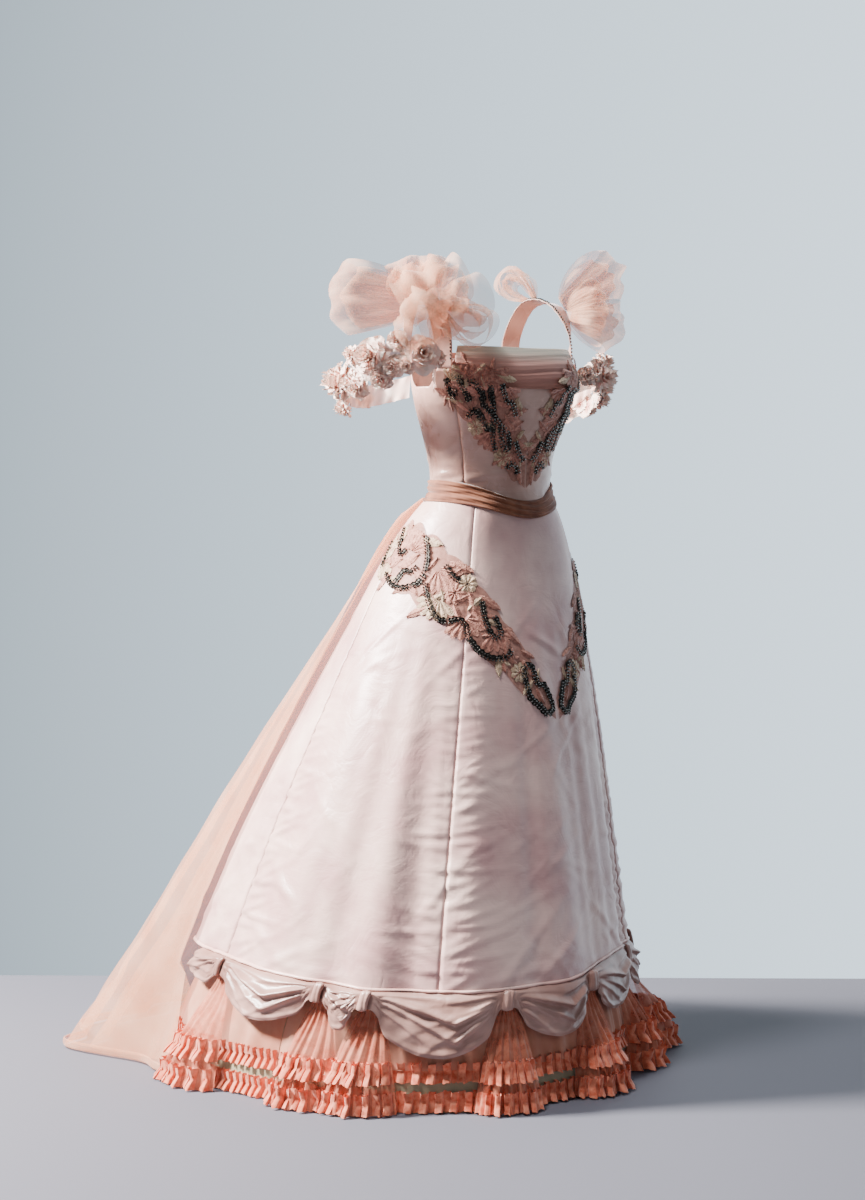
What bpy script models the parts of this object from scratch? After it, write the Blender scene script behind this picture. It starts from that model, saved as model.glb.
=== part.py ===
"""A trained evening dress of pale pink satin and peach tulle, worn on a hollow figure.

Metres, +Z up. The wearer faces -Y, and the wearer's left hand is towards +X. The origin is the centre of
the waist, where the wearer holds the dress up. Angles are degrees round the body from centre front,
growing towards the wearer's left. Every cloth is a wall built from the body's or the skirt's sections.
"""

import math

import bmesh
import bpy
import numpy as np
from mathutils import Vector
from mathutils.bvhtree import BVHTree

# Driving sizes, in metres.
WAIST_HEIGHT = 1.05
SATIN = 0.0016
TULLE = 0.0012
LACE = 0.0012
SEAM = 0.0005
CLOSE = 0.0007
RESTING = 0.0006
FLOOR = -WAIST_HEIGHT
SKIRT_HEM = FLOOR + 0.199
HEM_RISE = 0.022
KNOT_HEIGHT = 0.034
KNOT_WIDTH = 0.024
BOW_SPREAD = 12.0
BOW_DEPTH = 0.050
SWAG_STEPS = 6
RUCHE_HEIGHT = 0.036
RUCHE_DEPTH = 0.014
RUCHE_PLEATS = 30
LOWER_RUCHE = FLOOR + 0.0190
UPPER_RUCHE = FLOOR + 0.0665
TRAIN_HEM = FLOOR + 0.003
FRONT_SEAM = 53.0
SIDE_SEAM = 112.0
BODICE_SEAM = 64.0
BODICE_BACK_SEAM = 118.0
NECKLINE = 0.262

# The knots of the hem: direction, how far the tulle fan below spreads and stands out, and the depth of
# the swag that follows.
KNOTS = (
    ("right_4", -111.0, 0.066, 0.046, 0.080),
    ("right_3", -81.0, 0.050, 0.040, 0.070),
    ("right_2", -69.0, 0.052, 0.044, 0.106),
    ("right_1", -35.0, 0.044, 0.036, 0.086),
    ("front", 0.0, 0.052, 0.044, 0.090),
    ("left_1", 45.0, 0.050, 0.046, 0.086),
    ("left_2", 80.0, 0.060, 0.078, 0.086),
    ("left_3", 112.0, 0.060, 0.050, 0.000),
)

# Distance of the satin from the waist's axis, in eight directions, at each height below the waist.
#  height  front  f_left  left   b_left  back   b_right  right  f_right
SKIRT = (
    (0.000, 0.097, 0.106, 0.118, 0.104, 0.095, 0.104, 0.118, 0.106),
    (-0.05, 0.112, 0.127, 0.142, 0.146, 0.148, 0.150, 0.148, 0.126),
    (-0.12, 0.128, 0.144, 0.168, 0.184, 0.194, 0.196, 0.180, 0.147),
    (-0.25, 0.156, 0.167, 0.202, 0.236, 0.264, 0.264, 0.232, 0.186),
    (-0.42, 0.190, 0.191, 0.236, 0.298, 0.346, 0.352, 0.300, 0.238),
    (-0.62, 0.228, 0.214, 0.268, 0.366, 0.436, 0.448, 0.376, 0.300),
    (-0.86, 0.270, 0.242, 0.308, 0.444, 0.530, 0.546, 0.456, 0.372),
    (FLOOR, 0.305, 0.270, 0.345, 0.500, 0.600, 0.612, 0.504, 0.418),
)
# The same for the bodice, from the waist to the shoulder blades.
BODICE = (
    (0.000, 0.097, 0.106, 0.118, 0.104, 0.095, 0.104, 0.118, 0.106),
    (0.050, 0.100, 0.110, 0.122, 0.108, 0.096, 0.108, 0.122, 0.110),
    (0.100, 0.108, 0.122, 0.134, 0.118, 0.100, 0.118, 0.134, 0.122),
    (0.160, 0.121, 0.142, 0.152, 0.131, 0.106, 0.131, 0.152, 0.142),
    (0.200, 0.122, 0.144, 0.158, 0.137, 0.110, 0.137, 0.158, 0.144),
    (0.280, 0.102, 0.126, 0.156, 0.140, 0.112, 0.140, 0.156, 0.126),
)
# The sheer train at the back, by the direction round the body, from the wearer's left to the right.
TRAIN_DIRECTIONS = (128.0, 137.0, 152.0, 180.0, 208.0, 223.0, 232.0)
TRAIN = (
    (0.000, 0.108, 0.106, 0.102, 0.100, 0.102, 0.106, 0.109),
    (-0.05, 0.156, 0.160, 0.166, 0.170, 0.170, 0.168, 0.166),
    (-0.12, 0.194, 0.200, 0.210, 0.220, 0.222, 0.210, 0.202),
    (-0.25, 0.240, 0.262, 0.290, 0.316, 0.312, 0.290, 0.270),
    (-0.42, 0.302, 0.338, 0.388, 0.436, 0.432, 0.394, 0.358),
    (-0.62, 0.364, 0.420, 0.490, 0.566, 0.566, 0.516, 0.452),
    (-0.86, 0.440, 0.522, 0.618, 0.710, 0.718, 0.662, 0.555),
    (FLOOR, 0.512, 0.610, 0.720, 0.815, 0.836, 0.790, 0.655),
)


def cubic(before, start, end, after, share):
    """A smooth curve from start to end, whose slopes follow the values on each side."""
    square, cube = share**2, share**3
    slope_in = (end - before) / 2
    slope_out = (after - start) / 2
    held = (2 * cube - 3 * square + 1) * start + (3 * square - 2 * cube) * end
    return held + (cube - 2 * square + share) * slope_in + (cube - square) * slope_out


def round_body(values, angle):
    """The value in a direction, from eight that stand 45 degrees apart."""
    step = (angle % 360) / 45
    first = int(step) % 8
    near = [values[(first + k) % 8] for k in (-1, 0, 1, 2)]
    return cubic(*near, step - int(step))


def along(places, values, place):
    """The value at a place between listed ones, on a smooth curve through them."""
    rising = places[-1] > places[0]
    order = range(len(places)) if rising else range(len(places) - 1, -1, -1)
    xs = [places[k] for k in order]
    ys = [values[k] for k in order]
    place = min(max(place, xs[0]), xs[-1])
    k = min(max(int(np.searchsorted(xs, place)) - 1, 0), len(xs) - 2)
    wide = xs[k + 1] - xs[k]
    share = (place - xs[k]) / wide
    flat = (ys[k + 1] - ys[k]) / wide
    slope_in = flat if k == 0 else (ys[k + 1] - ys[k - 1]) / (xs[k + 1] - xs[k - 1])
    slope_out = flat if k == len(xs) - 2 else (ys[k + 2] - ys[k]) / (xs[k + 2] - xs[k])
    before = ys[k + 1] - 2 * slope_in * wide
    after = ys[k] + 2 * slope_out * wide
    return cubic(before, ys[k], ys[k + 1], after, share)


def section(rows, angle, height):
    heights = [row[0] for row in rows]
    return along(heights, [round_body(row[1:], angle) for row in rows], height)


def bump(away, half_width):
    """1 in the middle of a soft hump, and 0 from half_width outwards."""
    return 0.5 + 0.5 * math.cos(math.pi * min(1.0, abs(away) / half_width))


def turn(angle):
    """An angle between -180 and 180 degrees."""
    return (angle + 180) % 360 - 180


def rise(value, low, high):
    """0 up to low and 1 from high, smoothly between."""
    share = min(1.0, max(0.0, (value - low) / (high - low)))
    return share * share * (3 - 2 * share)


# The skirt's deepest folds: direction, half width in degrees, and how far each stands out at the hem.
FOLDS = (
    (-125.0, 11.0, 0.008),
    (-93.0, 14.0, 0.014),
    (-70.0, 11.0, 0.011),
    (-44.0, 13.0, 0.012),
    (-12.0, 15.0, 0.009),
    (36.0, 13.0, 0.007),
    (58.0, 10.0, 0.010),
    (86.0, 13.0, 0.012),
    (126.0, 10.0, 0.012),
    (146.0, 10.0, 0.016),
    (166.0, 10.0, 0.018),
    (186.0, 10.0, 0.018),
    (206.0, 10.0, 0.018),
    (226.0, 10.0, 0.014),
)


def skirt(angle, height):
    """The outer face of the satin skirt, as a distance from the axis."""
    depth = rise(-height, 0.10, 0.80)
    folds = sum(size * bump(turn(angle - at), wide) for at, wide, size in FOLDS)
    return section(SKIRT, angle, height) + depth * folds


def foundation(angle, height):
    """The outer face of the underskirt, which lies inside the satin and reaches the floor."""
    inset = 0.0007 + 0.0020 * rise(-height, 0.0, 0.06)
    inset += 0.0155 * rise(-height, 0.04, 0.45) * (1 - 0.80 * rise(-height, 0.84, 0.96))
    return section(SKIRT, angle, height) - SATIN - inset


def bodice(angle, height):
    return section(BODICE, angle, height)


def figure(angle, height):
    """The outer face of whatever satin lies at this height."""
    return bodice(angle, height) if height >= 0 else skirt(angle, height)


def hem_line(angle):
    """The height of the satin skirt's lower edge, which rises a little away from the near front."""
    return SKIRT_HEM + HEM_RISE * rise(abs(turn(angle + 40)), 18, 75)


def bodice_top(angle):
    """The bodice's upper edge: straight across front and back, lower under the arms."""
    side = abs(turn(angle))
    front = 0.236 - 0.046 * rise(side, BODICE_SEAM + 9, 84)
    return front + 0.058 * rise(side, 98, BODICE_BACK_SEAM + 6)


def polar(angle, distance, height):
    turned = math.radians(angle)
    return (distance * math.sin(turned), -distance * math.cos(turned), height)


def mix(first, second, share):
    return first + (second - first) * share


def laid_on(pieces, rule, around=0.0, level=0.0):
    """The outermost face of the finished pieces round a point, near the distance that the rule gives."""
    graph = bpy.context.evaluated_depsgraph_get()
    trees = [BVHTree.FromObject(DRESS.objects[piece], graph) for piece in pieces]

    def beyond_rule(angle, height):
        start = Vector(polar(angle, rule(angle, height) + 0.012, height))
        inward = Vector(polar(angle, -1.0, 0.0))
        hits = [tree.ray_cast(start, inward, 0.020)[3] for tree in trees]
        found = [distance for distance in hits if distance is not None]
        return 0.012 - min(found) if found else 0.0

    def surface(angle, height):
        nearby = [(x, y) for x in {-around, 0.0, around} for y in {-level, 0.0, level}]
        return rule(angle, height) + max(beyond_rule(angle + x, height + y) for x, y in nearby)

    return surface


def settle(form, towards, piece, gap):
    """Slides the form until it lies the given gap from a finished piece."""
    graph = bpy.context.evaluated_depsgraph_get()
    tree = BVHTree.FromObject(DRESS.objects[piece], graph)
    towards = Vector(towards).normalized()
    points = [vert.co.copy() for vert in form.verts]
    for edge in form.edges:
        start, end = (vert.co for vert in edge.verts)
        points += [start.lerp(end, step / 6) for step in range(1, 6)]
    moved = 0.0
    for _ in range(60):
        nearest = min(tree.find_nearest(point + towards * moved)[3] for point in points)
        moved += nearest - gap
        if abs(nearest - gap) < 0.00003:
            break
    bmesh.ops.translate(form, verts=form.verts, vec=towards * moved)


# Building a cloth from a rule for its points.
COLOURS = {
    "satin": ((0.80, 0.66, 0.65, 1), 0.38),
    "satin_under": ((0.80, 0.72, 0.62, 1), 0.45),
    "tulle": ((0.86, 0.50, 0.40, 1), 0.80),
    "train_tulle": ((0.82, 0.62, 0.52, 1), 0.80),
    "neck_tulle": ((0.78, 0.50, 0.46, 1), 0.75),
    "lace": ((0.62, 0.40, 0.34, 1), 0.75),
    "petal": ((0.86, 0.74, 0.70, 1), 0.70),
}


def material(slot):
    found = bpy.data.materials.get(slot)
    if found:
        return found
    colour, roughness = COLOURS[slot]
    made = bpy.data.materials.new(slot)
    made.use_nodes = True
    shader = made.node_tree.nodes["Principled BSDF"]
    shader.inputs["Base Color"].default_value = colour
    shader.inputs["Roughness"].default_value = roughness
    shader.inputs["Metallic"].default_value = 0.0
    return made


def add(name, form, slot, thickness=0.0, inward=True):
    """Makes a named object of the form, with a cloth's thickness where it is one."""
    mesh = bpy.data.meshes.new(name)
    form.to_mesh(mesh)
    form.free()
    mesh.materials.append(material(slot))
    mesh.shade_smooth()
    made = bpy.data.objects.new(name, mesh)
    DRESS.objects.link(made)
    if thickness:
        wall = made.modifiers.new("cloth", "SOLIDIFY")
        wall.thickness = thickness
        wall.offset = -1 if inward else 1
    return made


def grid(place, across, up, closed=False):
    """A net of quads, each corner put where place(share across, share up) says."""
    form = bmesh.new()
    bmesh.ops.create_grid(form, x_segments=across, y_segments=up, size=0.5)
    for vert in form.verts:
        vert.co = place(vert.co.x + 0.5, vert.co.y + 0.5)
    if closed:
        bmesh.ops.remove_doubles(form, verts=form.verts, dist=0.00001)
    return form


def cloth(name, slot, place, across, up, thickness=SATIN, closed=False, inward=True):
    return add(name, grid(place, across, up, closed), slot, thickness, inward)


def relief(name, slot, outer, inner, across, up):
    """A wall whose outer face is raised over a plain inner one, closed round its edge."""
    form = grid(outer, across, up)
    back = grid(inner, across, up)
    bmesh.ops.reverse_faces(back, faces=back.faces)
    holder = bpy.data.meshes.new("holder")
    back.to_mesh(holder)
    back.free()
    form.from_mesh(holder)
    bpy.data.meshes.remove(holder)
    rims = [edge for edge in form.edges if edge.is_boundary]
    bmesh.ops.bridge_loops(form, edges=rims)
    bmesh.ops.recalc_face_normals(form, faces=form.faces)
    return add(name, form, slot)


def gore(name, slot, start, end, low, high, surface, across, up, thickness=SATIN, spread=1.0):
    """A panel between two seams, from its lower edge to its upper one."""

    def place(share, lift):
        middle = mix(start, end, share)
        top, bottom = high(middle), low(middle)
        height = mix(top, bottom, (1 - lift) ** spread)
        near = surface(middle, height)
        margin = math.degrees(SEAM / 2 / near)
        angle = mix(start + margin, end - margin, share)
        return polar(angle, surface(angle, height), height)

    return cloth(name, slot, place, across, up, thickness)


# The skirts.
def skirt_panels():
    def top(angle):
        return -SEAM / 2

    seams = (
        ("skirt_front", -FRONT_SEAM, FRONT_SEAM, 16),
        ("skirt_side_left", FRONT_SEAM, SIDE_SEAM, 8),
        ("skirt_back", SIDE_SEAM, 360 - SIDE_SEAM, 22),
        ("skirt_side_right", -SIDE_SEAM, -FRONT_SEAM, 9),
    )
    for name, start, end, across in seams:
        gore(name, "satin", start, end, hem_line, top, skirt, across, 8, spread=1.2)


def foundation_panels():
    def top(angle):
        return -SEAM

    def bottom(angle):
        return FLOOR

    for name, start in (("underskirt_front", -90.0), ("underskirt_back", 90.0)):
        gore(name, "satin_under", start, start + 180, bottom, top, foundation, 22, 6)


def ruches():
    """Two rows of pleated tulle round the underskirt, each sewn down along its middle."""
    under = laid_on(("underskirt_front", "underskirt_back"), foundation)
    for row, middle in (("lower", LOWER_RUCHE), ("upper", UPPER_RUCHE)):
        for side, start in (("front", -90.0), ("back", 90.0)):

            def place(share, lift, start=start, middle=middle):
                height = middle + RUCHE_HEIGHT * (lift - 0.5)
                wave = round(share * 2 * RUCHE_PLEATS) % 2
                flare = 0.45 + 0.55 * abs(2 * lift - 1)
                angle = mix(start + 0.12, start + 179.88, share)
                stand = RESTING + RUCHE_DEPTH * wave * flare
                return polar(angle, under(angle, height) + stand, height)

            name = f"ruche_{row}_{side}"
            cloth(name, "tulle", place, 2 * RUCHE_PLEATS, 2, TULLE, inward=False)


def swag_scoop(angle):
    """How far down a swag hangs here, and how full it is, from 0 at its knots to 1 in its middle."""
    stops = [knot[1] for knot in KNOTS]
    near = min(abs(angle - stop) for stop in stops)
    clear = rise(math.radians(near) * section(SKIRT, angle, SKIRT_HEM), 0.010, 0.034)
    for first, second, knot in zip(stops[:-1], stops[1:], KNOTS):
        if first <= angle <= second:
            scoop = math.sin(math.pi * (angle - first) / (second - first))
            return knot[4], clear * scoop**0.7
    return BOW_DEPTH, clear * math.sin(math.pi * min(1.0, 0.30 + 0.55 * near / BOW_SPREAD))


def swag_angles(stops):
    """Directions along a strip of swags, closer together towards each knot."""
    found = [stops[0]]
    for first, second in zip(stops[:-1], stops[1:]):
        for step in range(1, SWAG_STEPS + 1):
            share = step / SWAG_STEPS
            eased = share - 0.07 * math.sin(2 * math.pi * share)
            found.append(mix(first, second, eased))
    return found


def swags():
    """The satin strip under the skirt's edge, gathered up at each knot and falling in a scoop between."""
    stops = [knot[1] for knot in KNOTS]
    middle = [knot[0] for knot in KNOTS].index("front")
    right = [stops[0] - BOW_SPREAD, *stops[:middle], stops[middle] - 0.1]
    left = [stops[middle] + 0.1, *stops[middle + 1 :], stops[-1] + BOW_SPREAD]
    for side, ends in (("right", right), ("left", left)):
        angles = swag_angles(ends)

        def place(share, lift, angles=angles):
            angle = angles[round(share * (len(angles) - 1))]
            down = 1 - lift
            depth, scoop = swag_scoop(angle)
            height = hem_line(angle) - SEAM - down * mix(KNOT_HEIGHT - 0.006, depth, scoop)
            if down < 0.01:
                return polar(angle, skirt(angle, height), height)
            puff = 0.005 + 0.010 * scoop * math.sin(math.pi * min(1.0, 1.3 * down + 0.03))
            crease = 0.004 * scoop * math.sin(math.pi * down) * math.cos(5 * math.pi * down)
            reach = skirt(angle, height) + 0.008 * scoop * rise(down, 0.3, 1.0)
            return polar(angle, reach + puff + crease, height)

        cloth(f"hem_swags_{side}", "satin", place, len(angles) - 1, 5)


def knots():
    """A band of satin drawn round the strip at each gather."""
    pieces = ("hem_swags_left", "hem_swags_right", "skirt_front", "skirt_side_left", "skirt_side_right")
    strip = laid_on(pieces, lambda angle, height: skirt(angle, height) + 0.005, 0.3, 0.001)
    for name, at, _, _, _ in KNOTS:

        def face(share, lift, out, at=at):
            height = hem_line(at) + 0.001 - (1 - lift) * KNOT_HEIGHT
            sideways = (share - 0.5) * KNOT_WIDTH * (1 - 0.12 * math.sin(math.pi * lift))
            angle = at + math.degrees(sideways / section(SKIRT, at, height))
            rounding = out * (0.0034 + 0.0020 * math.sin(math.pi * lift))
            rib = out * 0.0014 * abs(math.cos(2 * math.pi * share))
            under = max(strip(angle, height), strip(angle, height - 0.0075 * lift))
            return polar(angle, under + RESTING + rounding + rib, height)

        relief(
            f"knot_{name}",
            "satin",
            lambda share, lift, face=face: face(share, lift, 1),
            lambda share, lift, face=face: face(share, lift, 0),
            4,
            3,
        )


# The rows of each tulle fan: height over the floor, and whether its pleats stand out there.
FAN_ROWS = ((0.0, 0), (0.120, 0), (0.086, 1), (0.049, 1), (0.043, 0), (0.037, 1), (0.002, 1))


def fans():
    """A fan of tulle falling from each knot, with two pleated rows of its own."""
    under = laid_on(("underskirt_front", "underskirt_back"), foundation)
    for name, at, spread, belly, _ in KNOTS:
        top = hem_line(at) - KNOT_HEIGHT - 0.0005 - FLOOR

        def face(share, lift, out, at=at, spread=spread, belly=belly, top=top):
            level, tier = FAN_ROWS[round((1 - lift) * (len(FAN_ROWS) - 1))]
            level = level or top
            height = FLOOR + level
            drop = (top - level) / top
            reach = section(SKIRT, at, height)
            sideways = (share - 0.5) * 2 * mix(0.010, spread, drop**0.7)
            angle = at + math.degrees(sideways / reach)
            if drop == 0:
                return polar(angle, under(angle, height) + RESTING + out * TULLE, height)
            stand = mix(-0.006, belly, rise(drop, 0.15, 0.75))
            edge = 0.4 * (stand + 0.006) * (2 * share - 1) ** 2
            near = max(section(SKIRT, angle, height), reach - 0.004)
            wave = 0.010 * tier * (round(share * 6) % 2)
            return polar(angle, near + stand - edge + out * (TULLE + wave), height)

        relief(
            f"fan_{name}",
            "tulle",
            lambda share, lift, face=face: face(share, lift, 1),
            lambda share, lift, face=face: face(share, lift, 0),
            6,
            len(FAN_ROWS) - 1,
        )


def train():
    """The sheer overlay, from the back of the waist out to the floor."""
    start, end = TRAIN_DIRECTIONS[0], TRAIN_DIRECTIONS[-1]
    heights = [row[0] for row in TRAIN]
    satin = laid_on(("skirt_back",), skirt)

    def place(share, lift):
        angle = mix(start, end, share)
        height = mix(-0.010, TRAIN_HEM, (1 - lift) ** 1.5)
        rows = [along(TRAIN_DIRECTIONS, row[1:], angle) for row in TRAIN]
        reach = along(heights, rows, height)
        edge = min(1.0, 6 * min(share, 1 - share))
        folds = 0.018 * rise(-height, 0.05, 0.9) * edge * math.cos(13 * math.pi * share)
        if height < SKIRT_HEM:
            return polar(angle, reach + folds, height)
        clear = satin(angle, height) + RESTING + 0.010 * rise(-height, 0.010, 0.045)
        return polar(angle, clear if lift > 0.99 else max(reach + folds, clear), height)

    cloth("train_tulle", "train_tulle", place, 27, 9, TULLE, inward=False)


# The bodice.
def bodice_panels():
    def bottom(angle):
        return SEAM / 2

    middle_back = 180.0
    seams = (
        ("bodice_front", -BODICE_SEAM, BODICE_SEAM, 12),
        ("bodice_side_left", BODICE_SEAM, BODICE_BACK_SEAM, 6),
        ("bodice_back_left", BODICE_BACK_SEAM, middle_back, 6),
        ("bodice_back_right", middle_back, 360 - BODICE_BACK_SEAM, 6),
        ("bodice_side_right", -BODICE_BACK_SEAM, -BODICE_SEAM, 6),
    )
    for name, start, end, across in seams:
        gore(name, "satin", start, end, bottom, bodice_top, bodice, across, 5)


def sash():
    """A folded band of tulle round the waist, dipping to a point at centre front."""
    pieces = [piece.name for piece in DRESS.objects]
    below = [name for name in pieces if name.startswith(("skirt", "bodice", "train"))]
    under = laid_on(below, figure, 3.0, 0.004)

    def place(share, lift):
        angle = 360 * share
        dip = 0.034 * bump(turn(angle), 100) ** 1.5
        height = 0.004 - dip + (lift - 0.5) * (0.038 - 0.006 * bump(turn(angle), 90))
        fold = 0.0024 * bump(2 * lift - 1, 0.7)
        return polar(angle, under(angle, height) + TULLE + RESTING + 0.0003 + fold, height)

    cloth("waist_sash", "tulle", place, 36, 4, TULLE, closed=True)


def neck_bands():
    """Tulle laid in folds across the front and the back of the neckline."""
    under = laid_on(("bodice_front", "bodice_back_left", "bodice_back_right"), bodice, 3.0, 0.006)
    for name, start, end, low in (
        ("neck_band_front", -BODICE_SEAM + 0.4, BODICE_SEAM - 0.4, 0.186),
        ("neck_band_back", BODICE_BACK_SEAM + 17, 343 - BODICE_BACK_SEAM, 0.215),
    ):

        def place(share, lift, start=start, end=end, low=low):
            angle = mix(start, end, share)
            height = mix(low, NECKLINE, lift)
            fold = 0.0012 * (1 - math.cos(6 * math.pi * lift))
            lean = 0.0055 * math.sin(math.pi * lift)
            return polar(angle, under(angle, height) + CLOSE + TULLE + lean + fold, height)

        cloth(name, "neck_tulle", place, 12, 5, TULLE)


def ribbon(name, slot, path, leans, width, thickness, across, up=2, inward=False):
    """A strip of cloth along a smooth path, its width along the leaning direction at each point."""
    places = list(range(len(path)))

    def place(share, lift):
        at = share * (len(path) - 1)
        point = np.array([along(places, [p[k] for p in path], at) for k in range(3)])
        lean = np.array([along(places, [d[k] for d in leans], at) for k in range(3)])
        lean = lean / np.linalg.norm(lean)
        return tuple(point + lean * (lift - 0.5) * width)

    return cloth(name, slot, place, across, up, thickness, inward=inward)


STRAP_WIDTH = 0.034
SLEEVE_WIDTH = 0.040
LEFT_SLEEVE_DROP = 0.026


def strap_path(side):
    """The way over the shoulder, for the wearer's left with side 1 and the right with side -1."""
    front = polar(side * 72, bodice(side * 72, 0.222) + CLOSE, 0.222)
    back = polar(side * 126, bodice(side * 126, 0.228) + CLOSE, 0.230)
    return (
        front,
        (side * 0.152, -0.046, 0.290),
        (side * 0.150, -0.018, 0.338),
        (side * 0.143, 0.022, 0.354),
        (side * 0.134, 0.058, 0.342),
        (side * 0.124, 0.084, 0.290),
        back,
    )


def straps():
    for word, side in (("left", 1), ("right", -1)):
        back = [polar(at, bodice(at, 0.23), 0.0) for at in (130, 122)]
        leans = (
            (0.28, 0.95, 0.0),
            (0.75, 0.62, 0.0),
            (1.0, 0.15, -0.05),
            (1.0, 0.0, -0.22),
            (1.0, -0.1, -0.22),
            (0.90, -0.45, 0.0),
            tuple(40 * (there - here) for here, there in zip(*back)),
        )
        signed = [(x, side * y, side * z) for x, y, z in leans]
        ribbon(f"strap_{word}", "satin", strap_path(side), signed, STRAP_WIDTH, SATIN, 11, inward=True)


def sleeve_path(side):
    """The way round the upper arm, from the front of the armhole to the back."""
    front = polar(side * 78.5, bodice(side * 78.5, 0.215) + CLOSE, 0.196)
    back = polar(side * 116, bodice(side * 116, 0.205) + CLOSE + 0.0009, 0.192)
    drop = LEFT_SLEEVE_DROP if side > 0 else 0.0
    return (
        front,
        (side * 0.190, -0.062, 0.238 - drop),
        (side * 0.238, -0.032, 0.248 - drop),
        (side * 0.265, 0.024, 0.232 - drop),
        (side * 0.258, 0.084, 0.198 - drop),
        (side * 0.218, 0.124, 0.174 - drop),
        (side * 0.168, 0.118, 0.178 - drop),
        back,
    )


def sleeves():
    for word, side in (("left", 1), ("right", -1)):
        path = sleeve_path(side)
        upright = [(-0.10, 0.0, side)] * len(path)
        ribbon(f"sleeve_{word}", "tulle", path, upright, SLEEVE_WIDTH, TULLE, 14)


# Each rose: its place along the sleeve's way, its radius and its depth.
ROSES = ((1.35, 0.036, 0.032), (2.72, 0.038, 0.034), (4.05, 0.043, 0.038))


def roses():
    """Silk roses sewn to the sleeve: a ring of petals round a raised heart, flat behind."""
    for word, side in (("left", 1), ("right", -1)):
        path = sleeve_path(side)
        places = list(range(len(path)))
        for number, (at, radius, depth) in enumerate(ROSES, start=1):
            centre, ahead = (
                np.array([along(places, [p[k] for p in path], at + step) for k in range(3)])
                for step in (0.0, 0.05)
            )
            tangent = (ahead - centre) / np.linalg.norm(ahead - centre)
            facing = np.cross(tangent, (-0.10 * side, 0.0, 1.0)) * side
            facing = facing / np.linalg.norm(facing)
            raised = np.cross(facing, tangent)
            form = bmesh.new()
            bmesh.ops.create_uvsphere(form, u_segments=15, v_segments=7, radius=1)
            for vert in form.verts:
                x, y, z = vert.co
                ring = math.hypot(x, y)
                spin = math.atan2(y, x)
                petals = 1 + ring * 0.12 * math.cos(5 * spin)
                high = 0.004
                if z > 0.01:
                    hollow = 0.30 * math.cos(2.2 * math.pi * ring) + 0.05 * math.cos(5 * spin)
                    high += depth * (0.62 + hollow) * min(1.0, 2.2 * z)
                point = centre + tangent * x * radius * petals + raised * y * radius * petals
                vert.co = point + facing * high
            settle(form, -facing, f"sleeve_{word}", RESTING)
            add(f"rose_{word}_{number}", form, "petal")


# Each loop of stiff tulle at a shoulder, for the wearer's left and right: where it is sewn on, where it
# points, which way it is wide, and its length, width and depth.
PUFFS = (
    ("left_up", (0.156, -0.022, 0.3475), (0.80, -0.22, 0.52), (-0.5, 0.0, 0.85), 0.140, 0.105, 0.042),
    ("left_down", (0.1745, -0.034, 0.314), (0.80, -0.28, -0.24), (0.3, 0.0, 0.95), 0.118, 0.090, 0.038),
    ("left_back", (0.140, 0.040, 0.3585), (-0.30, 0.75, 0.58), (0.9, 0.10, -0.22), 0.085, 0.070, 0.034),
    ("right_out", (-0.1725, -0.002, 0.342), (-0.95, 0.30, 0.03), (0.05, 0.0, 1.0), 0.165, 0.136, 0.060),
    ("right_up", (-0.141, 0.026, 0.3575), (0.02, 0.20, 0.95), (0.77, -0.64, 0.0), 0.070, 0.120, 0.044),
    ("right_front", (-0.152, -0.055, 0.322), (0.02, -0.80, -0.38), (0.90, 0.3, -0.2), 0.096, 0.092, 0.036),
)


PUFF_OPEN = (1 - math.cos(0.12 * math.pi)) / 2


def puffs():
    """Loops of stiff tulle standing from the straps: a strip folded over, gathered where it is sewn on."""
    for name, root, points, widens, length, width, depth in PUFFS:
        ahead = np.array(points) / np.linalg.norm(points)
        wide = np.array(widens) - ahead * (np.array(widens) @ ahead)
        wide = wide / np.linalg.norm(wide)
        thick = np.cross(ahead, wide)

        def place(share, lift, root=root, ahead=ahead, wide=wide, thick=thick, size=(length, width, depth)):
            lap = mix(0.06, 0.94, share) * 2 * math.pi
            out = ((1 - math.cos(lap)) / 2 - PUFF_OPEN) / (1 - PUFF_OPEN)
            swell = math.sin(lap) * math.sin(lap / 2)
            across = lift - 0.5
            ruffle = 0.006 * out * math.cos(5 * math.pi * lift + 2 * math.pi * share)
            reach = size[0] * out * (1 - 0.30 * (2 * across) ** 2)
            gather = mix(0.20, 1.0, max(out, 0.0) ** 0.7)
            body = size[2] * swell + ruffle
            return tuple(np.array(root) + ahead * reach + wide * across * size[1] * gather + thick * body)

        form = grid(place, 12, 4)
        settle(form, -ahead, f"strap_{name.split('_')[0]}", CLOSE)
        add(f"puff_{name}", form, "tulle", TULLE)


# The lace. Each row: the share along the motif, its middle's direction and height, and its half height.
HIP_LACE = (
    (0.00, 122.0, -0.098, 0.036),
    (0.20, 103.0, -0.106, 0.056),
    (0.42, 78.0, -0.140, 0.062),
    (0.64, 50.0, -0.208, 0.058),
    (0.84, 25.0, -0.298, 0.048),
    (1.00, 1.5, -0.385, 0.018),
)
BODICE_LACE = (
    (0.00, 71.5, 0.190, 0.022),
    (0.22, 60.0, 0.176, 0.044),
    (0.50, 40.0, 0.136, 0.062),
    (0.76, 20.0, 0.088, 0.060),
    (1.00, 0.8, 0.050, 0.040),
)


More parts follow.
